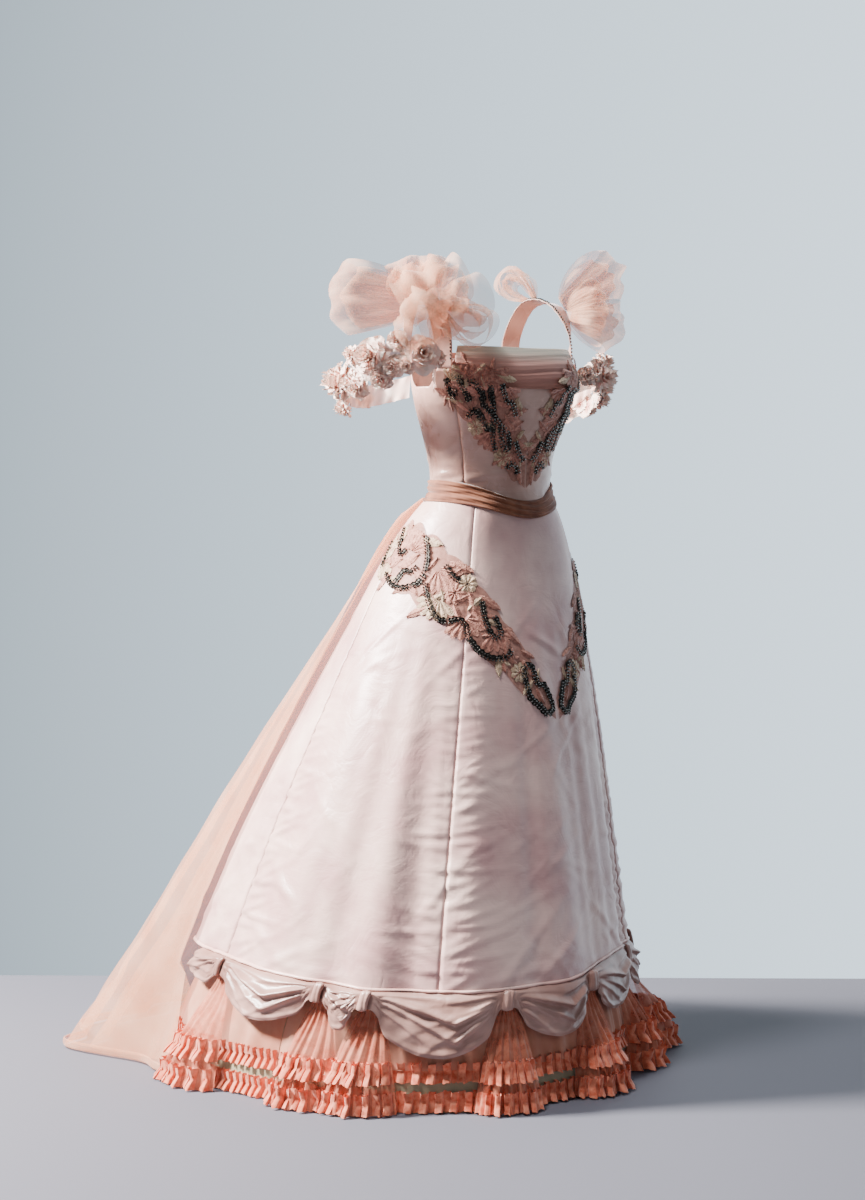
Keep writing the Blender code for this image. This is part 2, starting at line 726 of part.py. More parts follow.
def lace_motif(name, rows, side, surface, stand, scallops, across, up):
    """A lace applique whose edge swells in scallops, lying on the satin's own points."""
    shares = [row[0] for row in rows]

    def place(share, lift):
        angle = side * along(shares, [row[1] for row in rows], share)
        middle = along(shares, [row[2] for row in rows], share)
        half = along(shares, [row[3] for row in rows], share)
        half *= 0.86 + 0.22 * abs(math.cos(scallops * math.pi * share))
        height = middle + half * (2 * lift - 1)
        return polar(angle, surface(angle, height) + CLOSE + stand(angle, height), height)

    return cloth(name, "lace", place, across, up, LACE, inward=side > 0)


def lace():
    pieces = [piece.name for piece in DRESS.objects]
    on_skirt = laid_on([name for name in pieces if name.startswith("skirt")], skirt, 3.0, 0.018)
    clothed = [name for name in pieces if name.startswith(("bodice", "neck_band"))]
    on_bodice = laid_on(clothed, lambda angle, height: bodice(angle, height), 5.5, 0.014)

    def over_hip(angle, height):
        return 0.0002 + 0.0010 * bump(height + 0.070, 0.045)

    def over_band(angle, height):
        return 0.0030 * bump(abs(turn(angle)) - BODICE_SEAM, 8) * rise(height, 0.165, 0.185)

    for word, side in (("left", 1), ("right", -1)):
        lace_motif(f"lace_hip_{word}", HIP_LACE, side, on_skirt, over_hip, 7, 21, 4)
        lace_motif(f"lace_bodice_{word}", BODICE_LACE, side, on_bodice, over_band, 5, 13, 4)


for old in list(bpy.data.objects):
    bpy.data.objects.remove(old)
DRESS = bpy.data.collections.new("evening_dress")
bpy.context.scene.collection.children.link(DRESS)
skirt_panels()
foundation_panels()
ruches()
swags()
knots()
fans()
train()
bodice_panels()
sash()
neck_bands()
straps()
sleeves()
roses()
puffs()
lace()
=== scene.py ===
# %% [markdown]
# # A trained evening dress in satin and tulle
# The dress stands as if worn, hollow inside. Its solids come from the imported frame, in metres, with the
# waist's centre at the origin. Every cloth below is modelled again at a finer scale on the same rules, so
# that folds, pleats and appliqué can be seen. Angles are degrees round the body from centre front.

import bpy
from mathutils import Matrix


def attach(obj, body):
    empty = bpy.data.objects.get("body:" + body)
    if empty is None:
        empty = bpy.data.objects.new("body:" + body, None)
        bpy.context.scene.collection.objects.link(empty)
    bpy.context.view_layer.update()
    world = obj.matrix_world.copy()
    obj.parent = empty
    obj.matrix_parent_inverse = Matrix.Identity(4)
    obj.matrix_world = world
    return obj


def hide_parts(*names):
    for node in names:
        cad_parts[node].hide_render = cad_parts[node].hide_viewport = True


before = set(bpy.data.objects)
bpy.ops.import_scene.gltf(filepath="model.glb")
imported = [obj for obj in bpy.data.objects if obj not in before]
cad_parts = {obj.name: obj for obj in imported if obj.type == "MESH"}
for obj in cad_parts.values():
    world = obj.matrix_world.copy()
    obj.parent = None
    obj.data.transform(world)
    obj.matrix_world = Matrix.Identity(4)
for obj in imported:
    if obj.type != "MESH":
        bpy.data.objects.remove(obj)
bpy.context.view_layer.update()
print("nodes in the frame:", len(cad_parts))

# %% Blender's modules and the collection for the pieces
import math

import bmesh
import bpy
import numpy as np
from mathutils import Matrix, Vector

DRESS = bpy.data.collections.new("dress_looks")
bpy.context.scene.collection.children.link(DRESS)

# %% [markdown]
# ## Driving sizes
# These repeat the sizes that the solids were made from, so that each piece lies where its solid is.

# %% Sizes and tables of the dress
MM = 0.001
FLOOR = -1.05
SATIN = 0.0014
SATEEN = 0.0012
SASH_CLOTH = 0.0008
NECK_CLOTH = 0.0007
SKIRT_HEM = FLOOR + 0.199
HEM_RISE = 0.022
KNOT_HEIGHT = 0.034
KNOT_WIDTH = 0.024
BOW_SPREAD = 12.0
BOW_DEPTH = 0.050
FRONT_SEAM = 53.0
SIDE_SEAM = 112.0
BODICE_SEAM = 64.0
BODICE_BACK_SEAM = 118.0
NECKLINE = 0.262
PANEL_GAP = 0.00025
SKIRT_SEAMS = (-SIDE_SEAM, -FRONT_SEAM, FRONT_SEAM, SIDE_SEAM)
HALVES = (("front", -90.0), ("back", 90.0))
SIDES = (("left", 1), ("right", -1))
KNOTS = (
    ("right_4", -111.0, 0.066, 0.046, 0.080),
    ("right_3", -81.0, 0.050, 0.040, 0.070),
    ("right_2", -69.0, 0.052, 0.044, 0.106),
    ("right_1", -35.0, 0.044, 0.036, 0.086),
    ("front", 0.0, 0.052, 0.044, 0.090),
    ("left_1", 45.0, 0.050, 0.046, 0.086),
    ("left_2", 80.0, 0.060, 0.078, 0.086),
    ("left_3", 112.0, 0.060, 0.050, 0.000),
)
# Height, then the distance from the axis at the front and at each 45 degrees towards the left.
SKIRT = (
    (0.000, 0.097, 0.106, 0.118, 0.104, 0.095, 0.104, 0.118, 0.106),
    (-0.05, 0.112, 0.127, 0.142, 0.146, 0.148, 0.150, 0.148, 0.126),
    (-0.12, 0.128, 0.144, 0.168, 0.184, 0.194, 0.196, 0.180, 0.147),
    (-0.25, 0.156, 0.167, 0.202, 0.236, 0.264, 0.264, 0.232, 0.186),
    (-0.42, 0.190, 0.191, 0.236, 0.298, 0.346, 0.352, 0.300, 0.238),
    (-0.62, 0.228, 0.214, 0.268, 0.366, 0.436, 0.448, 0.376, 0.300),
    (-0.86, 0.270, 0.242, 0.308, 0.444, 0.530, 0.546, 0.456, 0.372),
    (FLOOR, 0.305, 0.270, 0.345, 0.500, 0.600, 0.612, 0.504, 0.418),
)
BODICE = (
    (0.000, 0.097, 0.106, 0.118, 0.104, 0.095, 0.104, 0.118, 0.106),
    (0.050, 0.100, 0.110, 0.122, 0.108, 0.096, 0.108, 0.122, 0.110),
    (0.100, 0.108, 0.122, 0.134, 0.118, 0.100, 0.118, 0.134, 0.122),
    (0.160, 0.121, 0.142, 0.152, 0.131, 0.106, 0.131, 0.152, 0.142),
    (0.200, 0.122, 0.144, 0.158, 0.137, 0.110, 0.137, 0.158, 0.144),
    (0.280, 0.102, 0.126, 0.156, 0.140, 0.112, 0.140, 0.156, 0.126),
)
TRAIN_DIRECTIONS = (119.0, 128.0, 137.0, 152.0, 180.0, 208.0, 223.0, 232.0, 242.0)
TRAIN = (
    (0.000, 0.108, 0.108, 0.106, 0.102, 0.100, 0.102, 0.106, 0.109, 0.110),
    (-0.05, 0.152, 0.156, 0.160, 0.166, 0.170, 0.170, 0.168, 0.166, 0.160),
    (-0.12, 0.188, 0.194, 0.200, 0.210, 0.220, 0.222, 0.210, 0.202, 0.196),
    (-0.25, 0.226, 0.240, 0.262, 0.290, 0.316, 0.312, 0.290, 0.270, 0.258),
    (-0.42, 0.280, 0.302, 0.338, 0.388, 0.436, 0.432, 0.394, 0.358, 0.336),
    (-0.62, 0.338, 0.364, 0.420, 0.490, 0.566, 0.566, 0.516, 0.452, 0.426),
    (-0.86, 0.398, 0.440, 0.522, 0.618, 0.710, 0.718, 0.662, 0.555, 0.522),
    (FLOOR, 0.450, 0.512, 0.610, 0.720, 0.815, 0.836, 0.790, 0.655, 0.598),
)
# The satin's deepest folds: direction, half width in degrees, and how far each stands out at the hem.
FOLDS = (
    (-125.0, 11.0, 0.008),
    (-93.0, 14.0, 0.014),
    (-70.0, 11.0, 0.011),
    (-44.0, 13.0, 0.012),
    (-12.0, 15.0, 0.009),
    (36.0, 13.0, 0.007),
    (58.0, 10.0, 0.010),
    (86.0, 13.0, 0.012),
    (126.0, 10.0, 0.012),
    (146.0, 10.0, 0.016),
    (166.0, 10.0, 0.018),
    (186.0, 10.0, 0.018),
    (206.0, 10.0, 0.018),
    (226.0, 10.0, 0.014),
)
print("knots:", len(KNOTS), "deep folds:", len(FOLDS))


# %% Smooth curves through listed values, for many points at once
def cubic(before, start, end, after, share):
    square, cube = share**2, share**3
    slope_in = (end - before) / 2
    slope_out = (after - start) / 2
    held = (2 * cube - 3 * square + 1) * start + (3 * square - 2 * cube) * end
    return held + (cube - 2 * square + share) * slope_in + (cube - square) * slope_out


def round_body(values, angle):
    """The value in each direction, from eight that stand 45 degrees apart."""
    values = np.array(values)
    step = (angle % 360) / 45
    first = np.floor(step).astype(int)
    near = [values[(first + k) % 8] for k in (-1, 0, 1, 2)]
    return cubic(*near, step - first)


def along(places, values, place):
    """The value at each place, on a smooth curve through the listed ones."""
    place = np.atleast_1d(np.asarray(place, float))
    order = np.argsort(places)
    xs = np.array(places, float)[order]
    ys = np.array([np.broadcast_to(values[k], place.shape) for k in order])
    place = np.clip(place, xs[0], xs[-1])
    k = np.clip(np.searchsorted(xs, place) - 1, 0, len(xs) - 2)
    here = np.arange(len(place))
    start, end = ys[k, here], ys[k + 1, here]
    wide = xs[k + 1] - xs[k]
    flat = (end - start) / wide
    low, high = np.maximum(k - 1, 0), np.minimum(k + 2, len(xs) - 1)
    slope_in = np.where(k == 0, flat, (end - ys[low, here]) / (xs[k + 1] - xs[low]))
    slope_out = np.where(k == len(xs) - 2, flat, (ys[high, here] - start) / (xs[high] - xs[k]))
    share = (place - xs[k]) / wide
    return cubic(end - 2 * slope_in * wide, start, end, start + 2 * slope_out * wide, share)


def section(rows, angle, height):
    heights = [row[0] for row in rows]
    return along(heights, [round_body(row[1:], angle) for row in rows], height)


def bump(away, half_width):
    """1 in the middle of a soft hump, and 0 from half_width outwards."""
    return 0.5 + 0.5 * np.cos(np.pi * np.minimum(1.0, np.abs(away) / half_width))


def rise(value, low, high):
    """0 up to low and 1 from high, smoothly between."""
    share = np.clip((value - low) / (high - low), 0, 1)
    return share * share * (3 - 2 * share)


def turn(angle):
    return (angle + 180) % 360 - 180


def mix(first, second, share):
    return first + (second - first) * share


def unit(vectors):
    """Vectors of length 1 in the same directions, along the last axis."""
    return vectors / np.maximum(np.linalg.norm(vectors, axis=-1, keepdims=True), 1e-9)


def polar(angle, distance, height):
    turned = np.radians(angle)
    return np.stack([distance * np.sin(turned), -distance * np.cos(turned), height + 0 * turned], axis=1)


# %% The dress's own surfaces
def skirt(angle, height):
    depth = rise(-height, 0.10, 0.80)
    folds = sum(size * bump(turn(angle - at), wide) for at, wide, size in FOLDS)
    return section(SKIRT, angle, height) + depth * folds


def foundation(angle, height):
    inset = 0.0007 + 0.0020 * rise(-height, 0.0, 0.06)
    inset = inset + 0.0155 * rise(-height, 0.04, 0.45) * (1 - 0.80 * rise(-height, 0.84, 0.96))
    return section(SKIRT, angle, height) - 0.0016 - inset


def hem_line(angle):
    return SKIRT_HEM + HEM_RISE * rise(np.abs(turn(angle + 40)), 18, 75)


def bodice_top(angle):
    side = np.abs(turn(angle))
    front = 0.236 - 0.046 * rise(side, BODICE_SEAM + 9, 84)
    return front + 0.058 * rise(side, 98, BODICE_BACK_SEAM + 6)


quarters = np.array([0.0, 90.0, 180.0, 270.0])
print("skirt's reach at the hem, mm:", np.round(skirt(quarters, np.full(4, SKIRT_HEM)) / MM))

# %% [markdown]
# ## Creases
# Satin keeps a memory of its handling. The long folds are soft troughs that deepen towards the hem, and
# the seams draw the cloth into short puckers. Each crease is a row in a table, or drawn from a seeded
# random number generator, so that the same creases appear on every run.

# %% Long folds in the satin, and a rule for short creases
# Direction at the hem, how far it leans in degrees per metre, half width in degrees, depth at the hem.
SOFT_FOLDS = (
    (-118.0, 10.0, 6.0, -0.0045),
    (-102.0, -6.0, 8.0, 0.0030),
    (-84.0, 5.0, 5.0, 0.0035),
    (-76.0, 2.0, 6.0, -0.0022),
    (-61.0, -9.0, 7.0, -0.0060),
    (-34.0, 8.0, 7.0, 0.0030),
    (-24.0, 4.0, 6.0, -0.0038),
    (-5.0, -5.0, 8.0, 0.0026),
    (9.0, 6.0, 6.0, -0.0034),
    (22.0, -3.0, 7.0, 0.0030),
    (46.0, 7.0, 6.0, -0.0042),
    (73.0, -6.0, 7.0, -0.0040),
    (98.0, 5.0, 6.0, -0.0036),
    (136.0, -4.0, 5.0, -0.0050),
    (156.0, 6.0, 6.0, -0.0060),
    (176.0, -5.0, 5.0, -0.0055),
    (196.0, 5.0, 6.0, -0.0060),
    (216.0, -6.0, 6.0, -0.0045),
)


def creased(rows, angle, height, reach):
    """The depth of short creases: direction, height, half length, half width, tilt and depth of each."""
    total = np.zeros_like(angle)
    for at, level, long, wide, tilt, deep in rows:
        x = np.radians(turn(angle - at)) * reach
        y = height - level
        lengthwise = (x * math.cos(tilt) + y * math.sin(tilt)) / long
        crosswise = (y * math.cos(tilt) - x * math.sin(tilt)) / wide
        near = np.exp(-(lengthwise**2) - crosswise**2)
        total += deep * near * (0.55 + 0.9 * crosswise)
    return total


# %% The puckers along the seams and the creases above the hem
def seam_puckers(chance):
    """Pairs of short creases that rise outwards from each seam, deeper towards the hem."""
    rows = []
    for seam, strength in zip(SKIRT_SEAMS, (2.3, 1.3, 1.4, 2.1)):
        for side in (-1, 1):
            level = -0.16
            while level > SKIRT_HEM + 0.004:
                level -= chance.uniform(0.012, 0.026)
                low = min(1.0, (0.05 - level) / 0.80) ** 1.3
                long = chance.uniform(0.016, 0.044) * (0.5 + 0.8 * low)
                at = seam + side * math.degrees((long * 0.8 + 0.001) / 0.34)
                tilt = side * chance.uniform(-0.10, 0.55)
                wide = chance.uniform(0.0048, 0.0075)
                rows.append((at, level, long, wide, tilt, strength * low * chance.uniform(0.0015, 0.0032)))
    return rows


def soft_wrinkles(chance):
    """Faint creases in every direction, closer together near the hem."""
    rows = []
    for _ in range(260):
        at = chance.uniform(-180, 180)
        level = SKIRT_HEM + 0.010 + 0.62 * chance.uniform(0, 1) ** 1.7
        tilt = chance.uniform(-1.0, 1.0)
        long = chance.uniform(0.020, 0.080)
        rows.append((at, level, long, chance.uniform(0.006, 0.012), tilt, chance.uniform(0.0006, 0.0024)))
    return rows


# Longer creases: direction, height, half length, half width, tilt and depth.
LONG_CREASES = (
    (-29.0, -0.800, 0.110, 0.010, 0.80, 0.0036),
    (-19.0, -0.825, 0.095, 0.009, 0.66, 0.0030),
    (-8.0, -0.640, 0.080, 0.010, 0.50, 0.0022),
    (-42.0, -0.770, 0.050, 0.009, 0.35, 0.0026),
    (-64.0, -0.800, 0.060, 0.009, -0.50, 0.0030),
    (-98.0, -0.700, 0.070, 0.011, -0.62, 0.0040),
    (-103.0, -0.775, 0.075, 0.011, -0.50, 0.0044),
    (-92.0, -0.815, 0.060, 0.010, 0.45, 0.0036),
    (-120.0, -0.640, 0.070, 0.012, 0.70, 0.0040),
    (-124.0, -0.730, 0.080, 0.012, 0.58, 0.0046),
    (-119.0, -0.800, 0.060, 0.011, 0.42, 0.0040),
    (24.0, -0.780, 0.090, 0.010, -0.70, 0.0032),
    (34.0, -0.700, 0.070, 0.010, 0.55, 0.0024),
    (66.0, -0.790, 0.060, 0.009, 0.50, 0.0030),
    (96.0, -0.720, 0.080, 0.011, -0.60, 0.0038),
    (150.0, -0.700, 0.090, 0.012, 0.60, 0.0030),
    (-160.0, -0.760, 0.090, 0.012, -0.60, 0.0030),
)
CREASES = seam_puckers(np.random.default_rng(21)) + soft_wrinkles(np.random.default_rng(5))
CREASES = CREASES + list(LONG_CREASES)


def satin_face(angle, height):
    """The satin skirt's outer face, with every fold and crease."""
    reach = skirt(angle, height)
    deepening = rise(-height, 0.08, 0.72)
    for at, lean, wide, deep in SOFT_FOLDS:
        reach = reach + deepening * deep * bump(turn(angle - at - lean * (height - SKIRT_HEM)), wide)
    for seam in SKIRT_SEAMS:
        away = np.radians(np.abs(turn(angle - seam))) * reach
        reach = reach - 0.0013 * np.exp(-((away / 0.004) ** 2))
    return reach + creased(CREASES, angle, height, reach) * rise(-height, 0.02, 0.10)


print("creases in the skirt:", len(CREASES))

# %% [markdown]
# ## Finishes
# Each material is named for the real stuff. One small function adds a node with its settings and links,
# and one turns a colour's sRGB hex value to the linear values that Blender shades with.


# %% Helpers for colours and nodes
def linear(code):
    parts = [int(code[k : k + 2], 16) / 255 for k in (1, 3, 5)]
    return (*[c / 12.92 if c <= 0.04045 else ((c + 0.055) / 1.055) ** 2.4 for c in parts], 1.0)


def add_node(tree, kind, settings):
    """A node whose settings are its own values, its sockets' values, or outputs to link to them."""
    node = tree.nodes.new("ShaderNode" + kind)
    for name, value in settings.items():
        if isinstance(name, str) and name not in node.inputs:
            setattr(node, name, value)
        elif isinstance(value, bpy.types.NodeSocket):
            tree.links.new(value, node.inputs[name])
        else:
            node.inputs[name].default_value = value
    return node


def finish_of(name, **sockets):
    """A material with its shader's constant values set, and the node tree to go on with."""
    made = bpy.data.materials.new(name)
    made.use_nodes = True
    shader = made.node_tree.nodes["Principled BSDF"]
    for socket, value in sockets.items():
        shader.inputs[socket.replace("_", " ")].default_value = value
    return made, made.node_tree, shader


def stained(tree, coords, low, high, scale, detail=3.0):
    """Two colours mixed by soft noise, at a scale in metres."""
    noise = add_node(
        tree, "TexNoise", {"Vector": coords, "Scale": 1 / scale, "Detail": detail, "Roughness": 0.55}
    )
    ramp = add_node(tree, "ValToRGB", {"Fac": noise.outputs[0]})
    ramp.color_ramp.elements[0].position = 0.33
    ramp.color_ramp.elements[1].position = 0.68
    ramp.color_ramp.elements[0].color = linear(low)
    ramp.color_ramp.elements[1].color = linear(high)
    return ramp.outputs[0]


# %% [markdown]
# Duchesse satin is a close silk whose long floats lie side by side, so light slides over it in broad soft
# bands. Fine slubs run across it with the weft. Threads are about 0.1 mm apart, far too fine to see, so
# the slubs are drawn 2 to 3 mm wide.


# %% Satin
def satin(name, shade, light, roughness):
    made, tree, shader = finish_of(
        name, IOR=1.5, Sheen_Weight=0.2, Sheen_Roughness=0.3, Anisotropic=0.4
    )
    places = add_node(tree, "TexCoord", {})
    colour = stained(tree, places.outputs["Object"], shade, light, 0.11)
    shader_colour = shader.inputs["Base Color"]
    weft = add_node(tree, "Mapping", {"Vector": places.outputs["UV"], "Scale": (30.0, 380.0, 1.0)})
    slubs = add_node(tree, "TexNoise", {"Vector": weft.outputs[0], "Scale": 1.0, "Detail": 3.0})
    flecks = add_node(
        tree,
        "MapRange",
        {"Value": slubs.outputs[0], "From Min": 0.3, "From Max": 0.7, "To Min": 0.955, "To Max": 1.03},
    )
    toned = add_node(
        tree, "Mix", {"data_type": "RGBA", "blend_type": "MULTIPLY", 0: 1.0, 6: colour, 7: flecks.outputs[0]}
    )
    tree.links.new(toned.outputs[2], shader_colour)
    rubbed = add_node(
        tree, "TexNoise", {"Vector": places.outputs["Object"], "Scale": 14.0, "Detail": 4.0}
    )
    dull = add_node(
        tree,
        "MapRange",
        {"Value": rubbed.outputs[0], "To Min": roughness - 0.07, "To Max": roughness + 0.09},
    )
    tree.links.new(dull.outputs[0], shader.inputs["Roughness"])
    handled = {"Vector": places.outputs["Object"], "Scale": 15.0, "Detail": 4.0, "Distortion": 0.8}
    crumpled = add_node(tree, "TexNoise", handled)
    centred = add_node(tree, "Math", {"operation": "SUBTRACT", 0: crumpled.outputs[0], 1: 0.5})
    ridged = add_node(tree, "Math", {"operation": "ABSOLUTE", 0: centred.outputs[0]})
    first = add_node(tree, "Bump", {"Height": ridged.outputs[0], "Strength": 0.42, "Distance": 0.0065})
    second = add_node(
        tree,
        "Bump",
        {"Height": slubs.outputs[0], "Strength": 0.22, "Distance": 0.0005, "Normal": first.outputs[0]},
    )
    tree.links.new(second.outputs[0], shader.inputs["Normal"])
    return made


SKIRT_SATIN = satin("silk_duchesse_satin", "#C69893", "#E6C0B4", 0.40)
BODICE_SATIN = satin("silk_satin_rose", "#B08476", "#D8AF9F", 0.27)
SWAG_SATIN = satin("silk_satin_swags", "#8C6459", "#B98F82", 0.34)
PIPING_SATIN = satin("silk_satin_piping", "#DDA99C", "#F0C6BA", 0.33)
FOUNDATION = satin("cotton_sateen_beige", "#8E8266", "#A99C7E", 0.60)
print("satins:", SKIRT_SATIN.name, BODICE_SATIN.name, FOUNDATION.name)

# %% [markdown]
# Silk tulle is a hexagonal net of very fine thread. The holes are about 1 mm, too small to see from a
# step away, so the net shows as a clear tint that gets stronger where layers lie over each other. Each
# layer is one clear surface. Crisp, crowded pleats hide what is behind them, so they let less through.


# %% Tulle
def tulle(name, shade, light, cover, scale=0.020):
    made, tree, shader = finish_of(name, IOR=1.45, Roughness=0.8, Sheen_Weight=0.35, Alpha=cover)
    shader.inputs["Specular IOR Level"].default_value = 0.25
    places = add_node(tree, "TexCoord", {})
    colour = stained(tree, places.outputs["Object"], shade, light, scale, 4.0)
    tree.links.new(colour, shader.inputs["Base Color"])
    threads = add_node(
        tree,
        "TexVoronoi",
        {"Vector": places.outputs["Object"], "Scale": 520.0, "feature": "DISTANCE_TO_EDGE"},
    )
    net = add_node(tree, "Bump", {"Height": threads.outputs[0], "Strength": 0.25, "Distance": 0.0004})
    tree.links.new(net.outputs[0], shader.inputs["Normal"])
    return made


FAN_TULLE = tulle("silk_tulle_salmon", "#C05A3C", "#DD8A6C", 0.54)
FACING_TULLE = tulle("silk_tulle_facing", "#BF6C50", "#DC9A80", 0.72, 0.09)
RUCHE_TULLE = tulle("silk_tulle_pleated", "#CB5838", "#EC9070", 0.93, 0.010)
TRAIN_TULLE = tulle("silk_tulle_peach", "#D18861", "#E5AA88", 0.42, 0.09)
LOOP_TULLE = tulle("silk_tulle_stiffened", "#D98F6C", "#F0BC9C", 0.34, 0.03)
ARM_TULLE = tulle("silk_tulle_arm", "#EFC3B1", "#F8DCCF", 0.80, 0.03)
SASH_TULLE = tulle("silk_tulle_folded", "#6E3A24", "#935A3E", 0.97, 0.03)
print("tulles:", FAN_TULLE.name, RUCHE_TULLE.name, TRAIN_TULLE.name, LOOP_TULLE.name, SASH_TULLE.name)


# %% [markdown]
# The tulle across the neckline is laid in folds. Its top is one pale layer, and lower down the folds lie
# over rose satin, so the colour deepens. The colour follows the cloth's own height, kept in its UV map.


# %% Neckline tulle, coloured by its height in the band
def neckline_tulle():
    made, tree, shader = finish_of(
        "silk_tulle_neckline", IOR=1.45, Roughness=0.75, Sheen_Weight=0.3, Alpha=0.93
    )
    places = add_node(tree, "TexCoord", {})
    parts = add_node(tree, "SeparateXYZ", {"Vector": places.outputs["UV"]})
    ramp = add_node(tree, "ValToRGB", {"Fac": parts.outputs[1]})
    stops = ((0.0, "#B06F5C"), (0.030, "#C08070"), (0.052, "#C99181"), (0.062, "#CFAB98"), (0.072, "#CFC2AD"))
    ramp.color_ramp.elements[0].color = linear(stops[0][1])
    ramp.color_ramp.elements[1].position = stops[-1][0]
    ramp.color_ramp.elements[1].color = linear(stops[-1][1])
    for place, code in stops[1:-1]:
        ramp.color_ramp.elements.new(place).color = linear(code)
    streaks = add_node(tree, "Mapping", {"Vector": places.outputs["UV"], "Scale": (8.0, 420.0, 1.0)})
    noise = add_node(tree, "TexNoise", {"Vector": streaks.outputs[0], "Scale": 1.0, "Detail": 4.0})
    tone = add_node(
        tree,
        "MapRange",
        {"Value": noise.outputs[0], "From Min": 0.3, "From Max": 0.7, "To Min": 0.84, "To Max": 1.08},
    )
    mixed = add_node(
        tree,
        "Mix",
        {"data_type": "RGBA", "blend_type": "MULTIPLY", 0: 1.0, 6: ramp.outputs[0], 7: tone.outputs[0]},
    )
    tree.links.new(mixed.outputs[2], shader.inputs["Base Color"])
    relief = add_node(tree, "Bump", {"Height": noise.outputs[0], "Strength": 0.5, "Distance": 0.0012})
    tree.links.new(relief.outputs[0], shader.inputs["Normal"])
    return made


NECK_TULLE = neckline_tulle()

# %% [markdown]
# The appliqué is cut from lace and embroidered cloth, edged by hand and set with faceted steel beads. The
# petals of the silk flowers are starched and pale rose; towards the heart their colour is darkened as painted
# shade, where the petals crowd together.


# %% Lace, beads and petals
def embroidery(name, shade, light):
    made, tree, shader = finish_of(name, IOR=1.45, Roughness=0.72, Sheen_Weight=0.4)
    places = add_node(tree, "TexCoord", {})
    colour = stained(tree, places.outputs["Object"], shade, light, 0.007, 5.0)
    tree.links.new(colour, shader.inputs["Base Color"])
    stitches = add_node(tree, "TexVoronoi", {"Vector": places.outputs["Object"], "Scale": 420.0})
    raised = add_node(
        tree, "Bump", {"Height": stitches.outputs[0], "Strength": 0.7, "Distance": 0.0010}
    )
    tree.links.new(raised.outputs[0], shader.inputs["Normal"])
    return made


def steel(name, code, roughness):
    made, tree, shader = finish_of(name, Metallic=1.0, Roughness=roughness)
    places = add_node(tree, "TexCoord", {})
    colour = stained(tree, places.outputs["Object"], "#1E1C1A", code, 0.004)
    tree.links.new(colour, shader.inputs["Base Color"])
    return made


def silk_petals():
    made, tree, shader = finish_of("silk_petals", IOR=1.45, Roughness=0.62, Sheen_Weight=0.3)
    shader.inputs["Subsurface Weight"].default_value = 0.15
    shader.inputs["Subsurface Radius"].default_value = (0.004, 0.002, 0.0015)
    places = add_node(tree, "TexCoord", {})
    parts = add_node(tree, "SeparateXYZ", {"Vector": places.outputs["UV"]})
    # Colour from each petal's base to its tip: the darker rose at the base is painted shade at the flower's
    # heart.
    ramp = add_node(tree, "ValToRGB", {"Fac": parts.outputs[1]})
    ramp.color_ramp.elements[0].color = linear("#CB8476")
    ramp.color_ramp.elements[1].position = 0.75
    ramp.color_ramp.elements[1].color = linear("#F3D8C9")
    ramp.color_ramp.elements.new(0.34).color = linear("#E9B9AA")
    tree.links.new(ramp.outputs[0], shader.inputs["Base Color"])
    noise = add_node(tree, "TexNoise", {"Vector": places.outputs["Object"], "Scale": 260.0, "Detail": 3.0})
    veins = add_node(tree, "Bump", {"Height": noise.outputs[0], "Strength": 0.35, "Distance": 0.0010})
    tree.links.new(veins.outputs[0], shader.inputs["Normal"])
    return made


ROSE_EMBROIDERY = embroidery("embroidered_lace_rose", "#8A4C3C", "#CB8B76")
CREAM_EMBROIDERY = embroidery("embroidered_lace_cream", "#9A7658", "#D8B999")
LACE_NET = tulle("lace_ground_net", "#9C6553", "#C28876", 0.66, 0.006)
STEEL = steel("cut_steel", "#A5A29B", 0.18)
JET = steel("darkened_steel_thread", "#4A4540", 0.45)
PETALS = silk_petals()
print("lace and petals:", ROSE_EMBROIDERY.name, STEEL.name, PETALS.name)

# %% [markdown]
# ## Building a cloth
# A cloth is a flat grid whose points a rule sends to their places, which is how a cut panel is hung. The
# same helper measures the cloth's rows and columns, because that is the size it was cut to.


# %% Helpers that make a piece of the dress
def grid(place, across, up, form=None):
    """A net of quads whose corners go where the rule for shares across and up says."""
    form = form or bmesh.new()
    if not form.loops.layers.uv:
        form.loops.layers.uv.new("cloth")
    made = bmesh.ops.create_grid(form, x_segments=across, y_segments=up, size=0.5, calc_uvs=True)
    made = made["verts"]
    net = np.array([vert.co[:2] for vert in made]) + 0.5
    points = place(net[:, 0], net[:, 1])
    for vert, point in zip(made, points):
        vert.co = point
    ordered = points[np.lexsort((np.round(net[:, 0], 6), np.round(net[:, 1], 6)))]
    return form, ordered.reshape(up + 1, across + 1, 3)


def cut_of(net):
    """The widest row, the longest column and the area of a cloth, in metres."""
    rows = np.linalg.norm(np.diff(net, axis=1), axis=2).sum(axis=1)
    columns = np.linalg.norm(np.diff(net, axis=0), axis=2).sum(axis=0)
    first = net[1:, 1:] - net[:-1, :-1]
    second = net[1:, :-1] - net[:-1, 1:]
    area = np.linalg.norm(np.cross(first, second), axis=2).sum() / 2
    width, length = float(rows.max()), float(columns.max())
    return round(width, 4), round(length, 4), round(min(float(area), width * length), 5)


def face_out(form):
    """Turns round each face that looks towards the body's axis."""
    form.normal_update()
    inward = []
    for face in form.faces:
        middle = face.calc_center_median()
        if face.normal.x * middle.x + face.normal.y * middle.y < 0:
            inward.append(face)
    bmesh.ops.reverse_faces(form, faces=inward)


